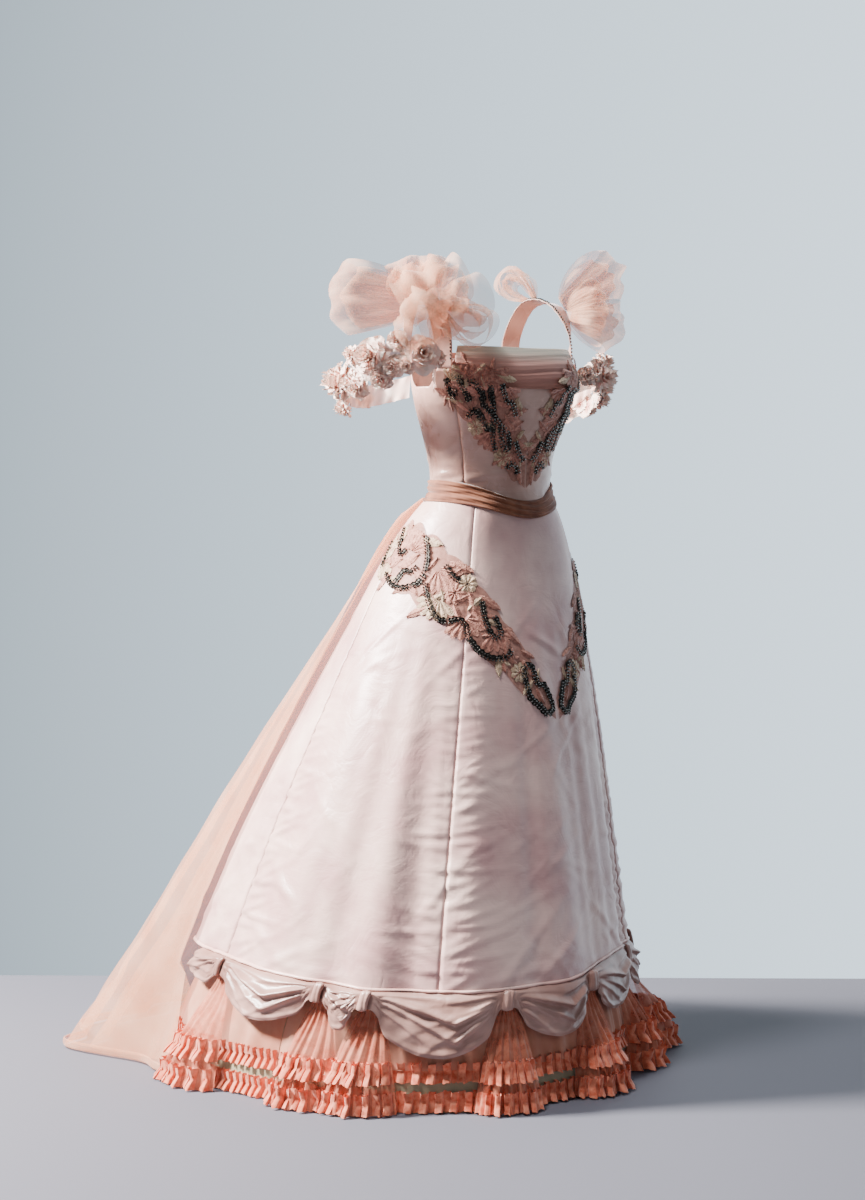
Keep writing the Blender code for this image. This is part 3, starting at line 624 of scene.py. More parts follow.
def piece(name, form, finish, nodes=(), thickness=0.0, flat=None):
    mesh = bpy.data.meshes.new(name)
    form.to_mesh(mesh)
    form.free()
    if flat:
        layer = mesh.uv_layers[0].data
        places = np.empty(len(layer) * 2, np.float32)
        layer.foreach_get("uv", places)
        layer.foreach_set("uv", (places.reshape(-1, 2) * flat).astype(np.float32).ravel())
    mesh.materials.append(finish)
    mesh.shade_smooth()
    made = bpy.data.objects.new(name, mesh)
    DRESS.objects.link(made)
    if thickness:
        wall = made.modifiers.new("wall", "SOLIDIFY")
        wall.thickness = thickness
        wall.offset = -1.0
    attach(made, "root")
    if nodes:
        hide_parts(*nodes)
    return made


def cloth(name, nodes, finish, place, size, thickness=0.0, closed=False):
    """A sheet of cloth: its grid has size (across, up); the cut it measures sets its UV map in metres and is
    printed.
    """
    form, net = grid(place, *size)
    if closed:
        bmesh.ops.remove_doubles(form, verts=form.verts, dist=0.00002)
    width, length, area = cut_of(net)
    made = piece(name, form, finish, nodes, thickness, (width, length))
    print(f"{name}: cut {width:.3f} x {length:.3f} m, {area:.4f} m2")
    return made


# %% [markdown]
# ## The satin skirt
# Four gores are sewn edge to edge: a front, two sides and a wide back. A maker would cut each flat and
# the flare comes from the cut. Here each gore is a grid between two seams, from the waist to the hem.

# %% Satin gores
GORES = (
    ("front", -FRONT_SEAM, FRONT_SEAM, 90, 200),
    ("side_left", FRONT_SEAM, SIDE_SEAM, 44, 120),
    ("back", SIDE_SEAM, 360 - SIDE_SEAM, 100, 84),
    ("side_right", -SIDE_SEAM, -FRONT_SEAM, 70, 180),
)


def gore_place(start, end, low, high, face):
    """The rule for a panel between two seams, with half a millimetre left open between panels."""

    def place(share, lift):
        middle = mix(start, end, share)
        height = mix(high(middle), low(middle), 1 - lift)
        margin = np.degrees(PANEL_GAP / face(middle, height))
        angle = mix(start + margin, end - margin, share)
        return polar(angle, face(angle, height), height)

    return place


def level_at(height):
    return lambda angle: height + 0 * angle


for name, start, end, across, up in GORES:
    place = gore_place(start, end, hem_line, level_at(-PANEL_GAP), satin_face)
    node = f"skirt_{name}"
    cloth(f"satin_{name}", [node], SKIRT_SATIN, place, (across, up), SATIN)


# %% Piping along the satin's hem
PIPING = 0.0026


def piping_place(share, lift):
    angle = mix(-179.9, 179.9, share)
    around = np.pi * mix(-0.62, 0.62, lift)
    height = hem_line(angle) + 0.0022 + PIPING * np.sin(around)
    return polar(angle, satin_face(angle, height) + 0.0004 + PIPING * np.cos(around), height)


cloth("hem_piping", [], PIPING_SATIN, piping_place, (420, 6))

# %% [markdown]
# The foundation is a plain skirt in beige sateen that reaches the floor and carries the pleated rows.


# %% Foundation skirt
def foundation_face(angle, height):
    low = rise(-height, 0.70, 1.0)
    wave = 0.0022 * np.cos(np.radians(angle) * 17 + 1.3) + 0.0014 * np.cos(np.radians(angle) * 29)
    return foundation(angle, height) - low * (0.0018 + wave * 0.5)


for name, start in HALVES:
    place = gore_place(start, start + 180, level_at(FLOOR), level_at(-0.0005), foundation_face)
    node = f"underskirt_{name}"
    cloth(
        f"foundation_{name}", [node], FOUNDATION, place, (84, 36),
        SATEEN,
    )


# %% Tulle that faces the foundation from under the swags to the upper row
FACING_LOW = FLOOR + 0.070
FACING_HIGH = FLOOR + 0.235


def facing_place(start):
    def place(share, lift):
        angle = mix(start + 0.1, start + 179.9, share)
        height = mix(FACING_LOW, FACING_HIGH, lift)
        wave = 0.0022 * np.cos(np.radians(angle) * 41) + 0.0016 * np.cos(np.radians(angle) * 67 + 1)
        return polar(angle, foundation_face(angle, height) + 0.0042 + wave * (1.1 - 0.5 * lift), height)

    return place


for side, start in HALVES:
    cloth(
        f"facing_tulle_{side}", [], FACING_TULLE, facing_place(start), (260, 8),
    )

# %% [markdown]
# ## Pleated rows
# A strip of tulle with raw edges is laid in small box pleats and sewn down along its middle, so both
# edges stand out. A loop's plan is a wave whose sides lean over, which is what makes a box pleat look full.

# %% Rules for box pleats
PITCH = 0.0172
PLEAT_DEPTH = 0.0115
ROW_HEIGHT = 0.036
PLEAT_COLUMNS = 14
UNEVEN = 400
FRAYS = 4096


def box_pleats(lap, lift, depth, seed):
    """How far each point moves sideways, outwards and upwards, lap counting the pleats so far."""
    chance = np.random.default_rng(seed)
    uneven = chance.uniform(0.72, 1.12, UNEVEN)
    slant = chance.uniform(-0.0022, 0.0022, UNEVEN)
    number = np.floor(lap).astype(int) % UNEVEN
    around = 2 * np.pi * lap
    flare = 0.30 + 0.70 * np.abs(2 * lift - 1) ** 0.8
    full = 0.5 - 0.5 * np.tanh(2.6 * np.cos(around)) / math.tanh(2.6)
    sideways = PITCH * 0.15 * np.sin(2 * around) + slant[number] * full * (2 * lift - 1)
    frayed = chance.uniform(-0.0016, 0.0016, FRAYS)[np.floor(lap * PLEAT_COLUMNS).astype(int) % FRAYS]
    upward = (2 * lift - 1) * (0.0012 * np.cos(around + 1.0)) + frayed * np.abs(2 * lift - 1) ** 3
    return sideways, depth * flare * full * uneven[number], upward


# %% Two rows round the foundation
ROWS = (("lower", FLOOR + 0.0190), ("upper", FLOOR + 0.0665))


def pleated_row(middle, start, seed):
    laps = round(math.pi * float(foundation(np.array([start + 90.0]), np.array([middle]))[0]) / PITCH)

    def place(share, lift):
        angle = mix(start + 0.12, start + 179.88, share)
        sideways, stand, upward = box_pleats(share * laps, lift, PLEAT_DEPTH, seed)
        height = middle + (ROW_HEIGHT - 0.003) * (lift - 0.5) + upward
        reach = foundation_face(angle, height)
        inside = np.minimum(1, 40 * np.minimum(share, 1 - share))
        return polar(angle + inside * np.degrees(sideways / reach), reach + 0.0015 + stand, height)

    return place, laps


for row, middle in ROWS:
    for side, start in HALVES:
        place, laps = pleated_row(middle, start, len(row) + int(start) + 100)
        name = f"pleated_{row}_{side}"
        cloth(
            name, [f"ruche_{row}_{side}"], RUCHE_TULLE, place, (PLEAT_COLUMNS * laps, 8),
        )
        print(f"{name}: {laps} pleats")

# %% [markdown]
# ## Swags, knots and fans at the hem
# Below the satin's edge runs a strip that is gathered up at eight points and falls in a scoop between.
# Each gather is bound with a narrow band, and under it a fan of tulle spreads over the foundation.


# %% Hem swags
def swag_shape(angle):
    """For each direction: the swag's depth, its fullness, its width and the share of the way along it."""
    stops = [knot[1] for knot in KNOTS]
    near = np.min([np.abs(angle - stop) for stop in stops], axis=0)
    clear = rise(np.radians(near) * section(SKIRT, angle, np.full_like(angle, SKIRT_HEM)), 0.010, 0.034)
    depth = np.full_like(angle, BOW_DEPTH)
    full = clear * np.sin(np.pi * np.minimum(1.0, 0.30 + 0.55 * near / BOW_SPREAD))
    span = np.full_like(angle, math.radians(BOW_SPREAD) * 0.4)
    share = np.clip(near / BOW_SPREAD, 0, 1) * 0.5
    for first, second, knot in zip(stops[:-1], stops[1:], KNOTS):
        inside = (angle >= first) & (angle <= second)
        way = np.clip((angle - first) / (second - first), 0, 1)
        depth = np.where(inside, knot[4], depth)
        full = np.where(inside, clear * np.sin(np.pi * way) ** 0.7, full)
        span = np.where(inside, math.radians(second - first) * 0.36, span)
        share = np.where(inside, way, share)
    return depth, full, span, share


def ridge(value, wide):
    """A fold that is soft above and steep below."""
    return np.exp(-((np.maximum(value, 0) / wide) ** 2) - (np.minimum(value, 0) / (0.38 * wide)) ** 2)


def swag_folds(down, depth, full, span, share):
    """Folds that spread from both knots, and one that hangs in a bend between them."""
    drop = down * depth * full
    total = 0
    for far, slopes in ((share * span, (0.10, 0.30, 0.56, 0.90)), ((1 - share) * span, (0.16, 0.44, 0.76))):
        fading = np.exp(-far / 0.075) * rise(far, 0.0, 0.010)
        for slope in slopes:
            total = total + 0.0064 * fading * ridge(slope * far - drop, 0.0024 + 0.058 * far)
    crinkle = np.sin(150 * drop + 19 * share**1.4) * np.sin(23 * share - 90 * drop + 1.2)
    total = total + 0.0007 * crinkle * rise(down, 0.05, 0.3)
    bend = np.where(share < 0.62, share / 0.62, (1 - share) / 0.38)
    total = total + 0.0080 * rise(bend, 0.1, 0.6) * ridge(0.44 * depth * bend - drop, 0.0066)
    return total + 0.0055 * rise(bend, 0.2, 0.8) * ridge(0.74 * depth * bend - drop, 0.0054)


def swag_place(start, end):
    def place(share, lift):
        angle = mix(start, end, share)
        down = 1 - lift
        depth, full, span, way = swag_shape(angle)
        height = hem_line(angle) - 0.0005 - down * mix(KNOT_HEIGHT - 0.006, depth, full)
        puff = 0.004 + 0.008 * full * np.sin(np.pi * np.minimum(1.0, 1.15 * down + 0.03))
        reach = skirt(angle, height) + 0.008 * full * rise(down, 0.3, 1.0)
        folds = swag_folds(down, depth, full, span, way) * rise(down, 0.0, 0.12)
        curl = -0.0035 * rise(down, 0.93, 1.0) * full
        return polar(angle, reach + (puff + folds + curl) * rise(down, -0.02, 0.06), height)

    return place


for side, start, end, across in (
    ("right", KNOTS[0][1] - BOW_SPREAD, -0.1, 250),
    ("left", 0.1, KNOTS[-1][1] + BOW_SPREAD, 210),
):
    cloth(
        f"swag_satin_{side}", [f"hem_swags_{side}"], SWAG_SATIN, swag_place(start, end),
        (across, 46),
    )


# %% The bands that bind the gathers
def knot_place(at):
    def place(share, lift):
        around = 2 * np.pi * mix(-0.44, 0.44, share)
        waist = 1 - 0.20 * np.sin(np.pi * lift)
        closing = np.sqrt(np.clip(1 - (2 * lift - 1) ** 8, 0, 1))
        ribs = 1 + 0.34 * np.abs(np.cos(2.5 * around + 1.2 * lift)) * (np.cos(around) > -0.3)
        sideways = 0.5 * KNOT_WIDTH * waist * closing * np.sin(around)
        outward = 0.0048 * closing * np.cos(around) * ribs
        height = float(hem_line(np.array([at]))[0]) + 0.003 - (1 - lift) * (KNOT_HEIGHT + 0.002)
        lean = 0.18 * (height - height.mean())
        reach = skirt(at + 0 * share, height) + 0.0125
        angle = at + np.degrees((sideways + lean) / reach)
        return polar(angle, reach + outward + 0.002 * np.sin(np.pi * lift), height)

    return place


for name, at, *_ in KNOTS:
    cloth(
        f"binding_{name}", [f"knot_{name}"], SWAG_SATIN, knot_place(at), (40, 18),
        closed=True,
    )


# %% [markdown]
# The fans are single layers of tulle. They leave each knot as a bunch of fine pleats, and the pleats open
# into soft folds as the fan widens. Two short pleated rows are sewn to each fan's foot.


# %% Tulle fans
def fan_top(at):
    """How high over the floor a fan begins, just under its knot."""
    return float(hem_line(np.array([at]))[0]) - KNOT_HEIGHT + 0.006 - FLOOR


def fan_stand(at, spread, belly, share, level, top):
    """Direction and distance of a fan's own surface, for a height over the floor."""
    drop = np.clip((top - level) / top, 0, 1)
    height = FLOOR + level
    reach = section(SKIRT, at + 0 * share, height)
    sideways = (share - 0.5) * 2.8 * mix(0.007, spread, drop**0.62)
    angle = at + np.degrees(sideways / reach)
    stand = mix(-0.004, belly - 0.004, rise(drop, 0.08, 0.80))
    side = np.abs(2 * share - 1)
    base = np.maximum(section(SKIRT, angle, height), reach - 0.004)
    ripple = mix(0.0012, 0.0062, drop) * np.sin(2 * np.pi * share * 5.5 + 0.7 + at) * (1 - side**4)
    ripple = ripple + 0.0018 * drop * np.sin(2 * np.pi * share * 13 + 2 * at)
    return angle, base + (stand + 0.006) * (1 - 0.97 * side**2.6) - 0.004 + ripple


def fan_place(at, spread, belly):
    top = fan_top(at)

    def place(share, lift):
        level = top * lift + 0.004 * (1 - lift)
        angle, reach = fan_stand(at, spread, belly, share, level, top)
        return polar(angle, reach, FLOOR + level)

    return place


def fan_row_place(at, spread, belly, middle, laps, seed):
    top = fan_top(at)

    def place(share, lift):
        sideways, stand, upward = box_pleats(share * laps, lift, PLEAT_DEPTH, seed)
        level = middle + (ROW_HEIGHT - 0.002) * (lift - 0.5) + upward
        angle, reach = fan_stand(at, spread, belly, share, level, top)
        return polar(angle + np.degrees(sideways / reach), reach + 0.001 + stand, FLOOR + level)

    return place


for number, (name, at, spread, belly, _) in enumerate(KNOTS):
    node = f"fan_{name}"
    place = fan_place(at, spread, belly)
    cloth(node + "_tulle", [node], FAN_TULLE, place, (64, 26))
    laps = round((2.3 * spread + 1.1 * belly) / PITCH)
    for row, middle in (("lower", 0.0200), ("upper", 0.0685)):
        place = fan_row_place(at, spread, belly, middle, laps, 50 + number)
        cloth(
            f"{node}_{row}_pleats", [], RUCHE_TULLE, place, (PLEAT_COLUMNS * laps, 8),
        )

# %% [markdown]
# ## The train
# A wide sheer overlay falls from the back of the waist to the floor. It has an inner layer that is a
# little narrower, so the outer edge is clearer than the middle, and a rolled hem about 15 mm wide.


# %% Train of tulle in two layers
TRAIN_FOLD = 0.018
TRAIN_RIPPLE = 0.0065
TRAIN_GATHER = 0.0020
APART_BY_WAIST = 0.005
APART_BY_FLOOR = 0.042
ROLL_DEPTH = 0.0028
ROLL_HEIGHT = 0.0075


def train_place(inset, ripples, phase):
    heights = [row[0] for row in TRAIN]

    def place(share, lift):
        height = mix(-0.010, FLOOR + 0.003 + 0.001 * inset, (1 - lift) ** 1.25)
        spread = rise(-height, 0.85, 1.00)
        start = TRAIN_DIRECTIONS[1] - 8 * spread + inset * 3
        end = TRAIN_DIRECTIONS[-2] + 9 * spread - inset * 5
        angle = mix(start, end, share)
        reach = along(heights, [along(TRAIN_DIRECTIONS, row[1:], angle) for row in TRAIN], height)
        edge = np.minimum(1.0, 6 * np.minimum(share, 1 - share))
        opening = rise(-height, 0.03, 0.9)
        folds = TRAIN_FOLD * opening * edge * np.cos(13 * np.pi * (angle - 128) / 104)
        folds = folds + TRAIN_RIPPLE * opening * edge * np.cos(ripples * np.pi * share + phase + 3 * height)
        folds = folds + 0.0022 * opening * np.sin(37 * share + 16 * height) * np.sin(29 * height - 24 * share)
        gathers = TRAIN_GATHER * (1 - rise(-height, 0.02, 0.30)) * np.cos(90 * np.pi * share)
        below_sash = rise(-height, 0.010, 0.045)
        apart = APART_BY_WAIST * below_sash
        clear = satin_face(angle, height) + 0.0030 + 0.010 * below_sash + (1 - inset) * apart
        clear = np.where(height < SKIRT_HEM - 0.02, 0, clear)
        reach = reach + folds - inset * (APART_BY_FLOOR * opening + apart)
        return polar(angle, np.maximum(reach, clear) + gathers + 0.002, height)

    return place


OUTER_TRAIN = train_place(0, 25, 0.4)
INNER_TRAIN = train_place(1, 21, 2.0)
cloth(
    "train_outer", ["train_tulle"], TRAIN_TULLE, OUTER_TRAIN, (200, 70)
)
cloth("train_inner", [], TRAIN_TULLE, INNER_TRAIN, (180, 56))


# %% The train's rolled hem
def train_hem(share, lift):
    around = 2 * np.pi * mix(-0.44, 0.44, lift)
    low = OUTER_TRAIN(share, 0 * share)
    outward = unit(low[:, :2])
    roll = np.stack([ROLL_DEPTH * np.cos(around), ROLL_HEIGHT * np.sin(around)], axis=1)
    low[:, :2] += outward * roll[:, :1]
    low[:, 2] += roll[:, 1] + 0.0078
    return low


cloth("train_hem", [], TRAIN_TULLE, train_hem, (200, 10))

# %% [markdown]
# ## The bodice
# Five boned panels are fitted closely to the figure, so the satin is almost smooth. It creases across
# where the waist bends and below the bust.

# %% Bodice panels
BODICE_CREASES = (
    (-84.0, 0.030, 0.040, 0.0065, 0.10, 0.0026),
    (-74.0, 0.047, 0.036, 0.0060, -0.18, 0.0022),
    (-62.0, 0.022, 0.034, 0.0055, 0.22, 0.0022),
    (-92.0, 0.066, 0.030, 0.0070, -0.30, 0.0018),
    (-70.0, 0.080, 0.034, 0.0080, 0.45, 0.0018),
    (-58.0, 0.104, 0.030, 0.0075, 0.60, 0.0014),
    (-88.0, 0.112, 0.026, 0.0080, 0.50, 0.0014),
    (-78.0, 0.150, 0.022, 0.0080, -0.40, 0.0016),
    (-30.0, 0.030, 0.030, 0.0060, 0.10, 0.0016),
    (28.0, 0.026, 0.034, 0.0060, -0.16, 0.0018),
    (66.0, 0.028, 0.040, 0.0060, -0.10, 0.0024),
    (80.0, 0.048, 0.034, 0.0060, 0.20, 0.0022),
    (70.0, 0.082, 0.030, 0.0080, -0.45, 0.0018),
    (92.0, 0.110, 0.026, 0.0080, -0.40, 0.0014),
    (132.0, 0.030, 0.034, 0.0060, 0.15, 0.0020),
    (158.0, 0.046, 0.028, 0.0060, -0.20, 0.0018),
    (-158.0, 0.034, 0.030, 0.0060, 0.20, 0.0020),
    (-134.0, 0.060, 0.034, 0.0070, -0.15, 0.0018),
    (170.0, 0.090, 0.030, 0.0080, 0.30, 0.0012),
    (-170.0, 0.120, 0.028, 0.0080, -0.30, 0.0012),
)
BODICE_SEAMS = (-BODICE_BACK_SEAM, -BODICE_SEAM, BODICE_SEAM, BODICE_BACK_SEAM, 180.0, -91.0, 91.0)


def bodice_low(angle):
    """The bodice's lower edge, which dips to a shallow point under the sash."""
    return PANEL_GAP - 0.030 * bump(turn(angle), 100) ** 1.5


def bodice_face(angle, height):
    below = section(SKIRT, angle, np.minimum(height, 0)) + 0.0021 * rise(-height, 0.0, 0.003)
    reach = np.where(height < 0, below, section(BODICE, angle, height))
    for seam in BODICE_SEAMS:
        away = np.radians(np.abs(turn(angle - seam))) * reach
        reach = reach - 0.0010 * np.exp(-((away / 0.003) ** 2))
    return reach + 1.5 * creased(BODICE_CREASES, angle, height, reach) * rise(height, 0.002, 0.02)


BODICE_PANELS = (
    ("front", -BODICE_SEAM, BODICE_SEAM, 76),
    ("side_left", BODICE_SEAM, BODICE_BACK_SEAM, 36),
    ("back_left", BODICE_BACK_SEAM, 180.0, 36),
    ("back_right", 180.0, 360 - BODICE_BACK_SEAM, 36),
    ("side_right", -BODICE_BACK_SEAM, -BODICE_SEAM, 36),
)
for name, start, end, across in BODICE_PANELS:
    place = gore_place(start, end, bodice_low, bodice_top, bodice_face)
    cloth(
        f"bodice_satin_{name}", [f"bodice_{name}"], BODICE_SATIN, place, (across, 52),
        SATIN,
    )


# %% The sash, laid in folds round the waist
def sash_place(share, lift):
    angle = 360 * share
    dip = 0.034 * bump(turn(angle), 100) ** 1.5
    height = 0.004 - dip + (lift - 0.5) * (0.038 - 0.006 * bump(turn(angle), 90))
    around = np.stack([section(BODICE, angle, np.maximum(height, 0)), skirt(angle, np.minimum(height, 0))])
    behind = bump(turn(angle - 180), 62)
    under = around.max(axis=0) + 0.0042 * behind
    rounding = 0.0030 * np.sin(np.pi * lift) ** 0.6
    folds = 0.0011 * np.cos(2 * np.pi * (3.2 * lift + 0.35 * np.sin(3 * np.radians(angle))))
    folds = folds + 0.0006 * np.cos(2 * np.pi * (7.0 * lift - 0.5 * np.sin(2 * np.radians(angle))))
    return polar(angle, under + 0.0026 + rounding + folds, height)


cloth(
    "sash_folds", ["waist_sash"], SASH_TULLE, sash_place, (220, 26),
    SASH_CLOTH, closed=True,
)


# %% The folded tulle across the neckline
def neck_place(start, end, low):
    def place(share, lift):
        angle = mix(start, end, share)
        height = mix(low, NECKLINE, lift)
        sag = 0.0025 * np.sin(np.pi * share) * lift
        folds = 0.0011 * np.cos(2 * np.pi * (3.6 * lift + 0.25 * np.sin(4 * share + 1)))
        folds = folds + 0.0006 * np.cos(2 * np.pi * (8.5 * lift + 0.4 * np.sin(6 * share)))
        lean = 0.0062 * np.sin(np.pi * lift) + 0.0012
        reach = section(BODICE, angle, height) + 0.0024 + lean + folds * (1 - 0.6 * lift)
        return polar(angle, reach, height - sag)

    return place


for name, start, end, low, size in (
    ("front", -BODICE_SEAM + 0.4, BODICE_SEAM - 0.4, 0.186, (110, 36)),
    ("back", BODICE_BACK_SEAM + 17, 343 - BODICE_BACK_SEAM, 0.215, (76, 28)),
):
    cloth(
        f"neck_folds_{name}", [f"neck_band_{name}"], NECK_TULLE, neck_place(start, end, low),
        size, NECK_CLOTH,
    )

# %% [markdown]
# ## Straps and garlands
# A satin strap passes over each shoulder. Lower, a band of tulle goes round the upper arm and carries a
# garland of silk flowers.

# %% Paths of the straps and of the arm bands
CLOSE = 0.0007


def body_point(angle, height, out=CLOSE, rise_to=None):
    where = np.array([angle], float)
    reach = section(BODICE, where, np.array([height])) + out
    return tuple(polar(where, reach, rise_to if rise_to is not None else height)[0])


def strap_path(side):
    return (
        body_point(side * 72, 0.222),
        (side * 0.152, -0.046, 0.290),
        (side * 0.150, -0.018, 0.338),
        (side * 0.143, 0.022, 0.354),
        (side * 0.134, 0.058, 0.342),
        (side * 0.124, 0.084, 0.290),
        body_point(side * 126, 0.228, CLOSE, 0.230),
    )


def sleeve_path(side):
    drop = 0.026 if side > 0 else 0.0
    return (
        body_point(side * 78.5, 0.215, CLOSE, 0.196),
        (side * 0.190, -0.062, 0.238 - drop),
        (side * 0.238, -0.032, 0.248 - drop),
        (side * 0.265, 0.024, 0.232 - drop),
        (side * 0.258, 0.084, 0.198 - drop),
        (side * 0.218, 0.124, 0.174 - drop),
        (side * 0.168, 0.118, 0.178 - drop),
        body_point(side * 116, 0.205, CLOSE + 0.0009, 0.192),
    )


def on_path(path, at):
    """Points at places along a smooth path, which counts its own listed points."""
    places = list(range(len(path)))
    return np.stack([along(places, [point[k] for point in path], at) for k in range(3)], axis=1)


def ribbon_place(path, leans, width, ripple):
    """A strip along a path, wide in the leaning direction, and rippled along its edges."""

    def place(share, lift):
        at = share * (len(path) - 1)
        lean = unit(on_path(leans, at))
        ahead = on_path(path, at + 0.02) - on_path(path, at - 0.02)
        out = unit(np.cross(ahead, lean))
        edge = np.abs(2 * lift - 1) ** 1.5
        fading = (0.3 + edge) * np.sin(np.pi * share) ** 0.3
        wave = ripple * np.sin(2 * np.pi * share * 17 + 3 * lift) * fading
        return on_path(path, at) + lean * ((lift - 0.5) * width)[:, None] + out * wave[:, None]

    return place


# %% Satin straps and tulle arm bands
STRAP_WIDTH = 0.034
BAND_WIDTH = 0.040
STRAP_PLACES = {}
STRAP_BEAD = 0.0022
STRAP_BEADS = 58
for word, side in SIDES:
    seat = np.array(body_point(130, 0.23)) - np.array(body_point(122, 0.23))
    leans = ((0.28, 0.95, 0.0), (0.75, 0.62, 0.0), (1.0, 0.15, -0.05), (1.0, 0.0, -0.22), (1.0, -0.1, -0.22))
    leans = (*leans, (0.90, -0.45, 0.0), (-40 * seat[0], -40 * seat[1], 0.0))
    signed = [(x, side * y, side * z) for x, y, z in leans]
    place = ribbon_place(strap_path(side), signed, STRAP_WIDTH, 0.0004)
    STRAP_PLACES[word] = place
    cloth(
        f"strap_satin_{word}", [f"strap_{word}"], BODICE_SATIN, place, (70, 12),
        SATEEN,
    )
    upright = [(-0.10, 0.0, side)] * 8
    place = ribbon_place(sleeve_path(side), upright, BAND_WIDTH, 0.0030)
    cloth(
        f"arm_band_{word}", [f"sleeve_{word}"], ARM_TULLE, place, (150, 14),
    )


# %% Steel beads along the inner edge of each strap
for word, side in SIDES:
    form = bmesh.new()
    place = STRAP_PLACES[word]
    stops = np.linspace(0.04, 0.90, STRAP_BEADS)
    inner = place(stops, 0 * stops + (0.08 if side > 0 else 0.92))
    ahead = place(stops + 0.01, 0 * stops + 0.5) - place(stops - 0.01, 0 * stops + 0.5)
    lean = place(stops, 0 * stops + 1.0) - place(stops, 0 * stops)
    raised = unit(np.cross(ahead, lean))
    outward = np.sum(raised * (inner - np.array([side * 0.14, 0.02, 0.26])), axis=1)
    for centre in inner + raised * (np.sign(outward) * 0.0026)[:, None]:
        made = bmesh.ops.create_icosphere(form, subdivisions=1, radius=STRAP_BEAD)["verts"]
        bmesh.ops.translate(form, verts=made, vec=Vector(centre))
    piece(f"strap_beads_{word}", form, STEEL).data.shade_flat()

# %% [markdown]
# Silk flowers are cut petal by petal, pressed over a warm tool so that each petal cups and curls, and
# gathered round a tight heart. Each petal here is a small grid, bent by the same rule with other numbers.

# %% Silk roses and blossoms
# Petals in each ring, how far out and how high they reach, their width, and how they curl back.
PETAL_RINGS = (
    (6, 1.04, 0.16, 0.60, -0.26),
    (6, 0.86, 0.46, 0.54, -0.14),
    (5, 0.64, 0.70, 0.44, -0.02),
    (4, 0.42, 0.88, 0.33, 0.05),
    (3, 0.22, 0.94, 0.22, 0.04),
)


def petal_place(centre, axes, size, depth, ring, wave, phase):
    """The rule for one petal: axes point outwards, across it and away from the flower's back."""
    _, out, high, wide, curl = ring

    def place(share, lift):
        side = 2 * share - 1
        half = wide * size * np.sin(np.pi * (0.10 + 0.74 * lift)) ** 0.8
        reach = size * out * lift * (1 - 0.16 * side**2)
        cup = 0.22 * size * side**2 * lift
        bend = depth * (high * np.sin(0.5 * np.pi * np.minimum(1, 1.35 * lift)) + curl * lift**3)
        frill = 0.0030 * wave * lift**2 * np.sin(7 * side + phase)
        up = 0.003 + bend + cup * (0.4 + high) + frill
        moved = zip(axes, (reach, side * half, up))
        return centre + sum(axis * size_along[:, None] for axis, size_along in moved)

    return place


def flower(form, centre, facing, tangent, radius, depth, chance):
    raised = np.cross(facing, tangent)
    for ring in PETAL_RINGS:
        count, out = ring[:2]
        for number in range(count):
            spin = 2 * math.pi * (number + chance.uniform(-0.12, 0.12)) / count + 5 * out
            size = radius * chance.uniform(0.88, 1.08)
            wave = chance.uniform(0.5, 1.2)
            phase = chance.uniform(0, 6.28)
            outward = tangent * math.cos(spin) + raised * math.sin(spin)
            across = raised * math.cos(spin) - tangent * math.sin(spin)
            axes = (outward, across, facing)
            grid(petal_place(centre, axes, size, depth, ring, wave, phase), 7, 5, form)


def garland_frame(side, at):
    """A place on the arm band, the direction along it and the direction away from the arm."""
    path = sleeve_path(side)
    centre, ahead = on_path(path, np.array([at]))[0], on_path(path, np.array([at + 0.05]))[0]
    tangent = unit(ahead - centre)
    facing = np.cross(tangent, (-0.10 * side, 0.0, 1.0)) * side
    return centre, tangent, unit(facing)


def flowers(name, side, blooms, nodes, seed):
    """Flowers at places along the arm band: place, height above its middle, radius and depth."""
    chance = np.random.default_rng(seed)
    form = bmesh.new()
    for at, level, radius, depth in blooms:
        centre, tangent, facing = garland_frame(side, at)
        leaned = unit(facing + np.array([0, 0, level / 0.03 * 0.35]))
        heart = centre + facing * 0.001 + np.array([0, 0, level])
        flower(form, heart, leaned, tangent, radius, depth, chance)
    area = sum(face.calc_area() for face in form.faces)
    made = piece(name, form, PETALS, nodes)
    print(f"{name}: {len(blooms)} flowers, {area:.4f} m2 of petals")


ROSES = ((1.35, 0.036, 0.030), (2.72, 0.038, 0.032), (4.05, 0.043, 0.036))
BLOSSOMS = (
    (0.80, 0.006, 0.020, 0.016),
    (1.75, -0.022, 0.019, 0.018),
    (2.02, 0.018, 0.021, 0.020),
    (2.14, -0.024, 0.022, 0.020),
    (2.46, -0.040, 0.023, 0.018),
    (3.22, -0.036, 0.024, 0.018),
    (3.36, 0.020, 0.022, 0.022),
    (3.52, -0.018, 0.021, 0.020),
    (4.62, -0.024, 0.022, 0.020),
    (4.86, 0.010, 0.021, 0.020),
    (5.55, -0.004, 0.019, 0.016),
)
for word, side in SIDES:
    for number, (at, radius, depth) in enumerate(ROSES, start=1):
        name = f"silk_rose_{word}_{number}"
        flowers(name, side, ((at, 0.0, radius, depth),), [f"rose_{word}_{number}"], 7 * number + side)
    flowers(f"silk_blossoms_{word}", side, BLOSSOMS, [], 90 + side)

# %% [markdown]
# ## Loops of stiffened tulle
# Clouds of tulle stand up from each shoulder. Each is a strip folded into a loop and gathered hard where
# it is sewn on. Stiffened tulle crumples into sharp small ridges, so the loops carry uneven ripples.

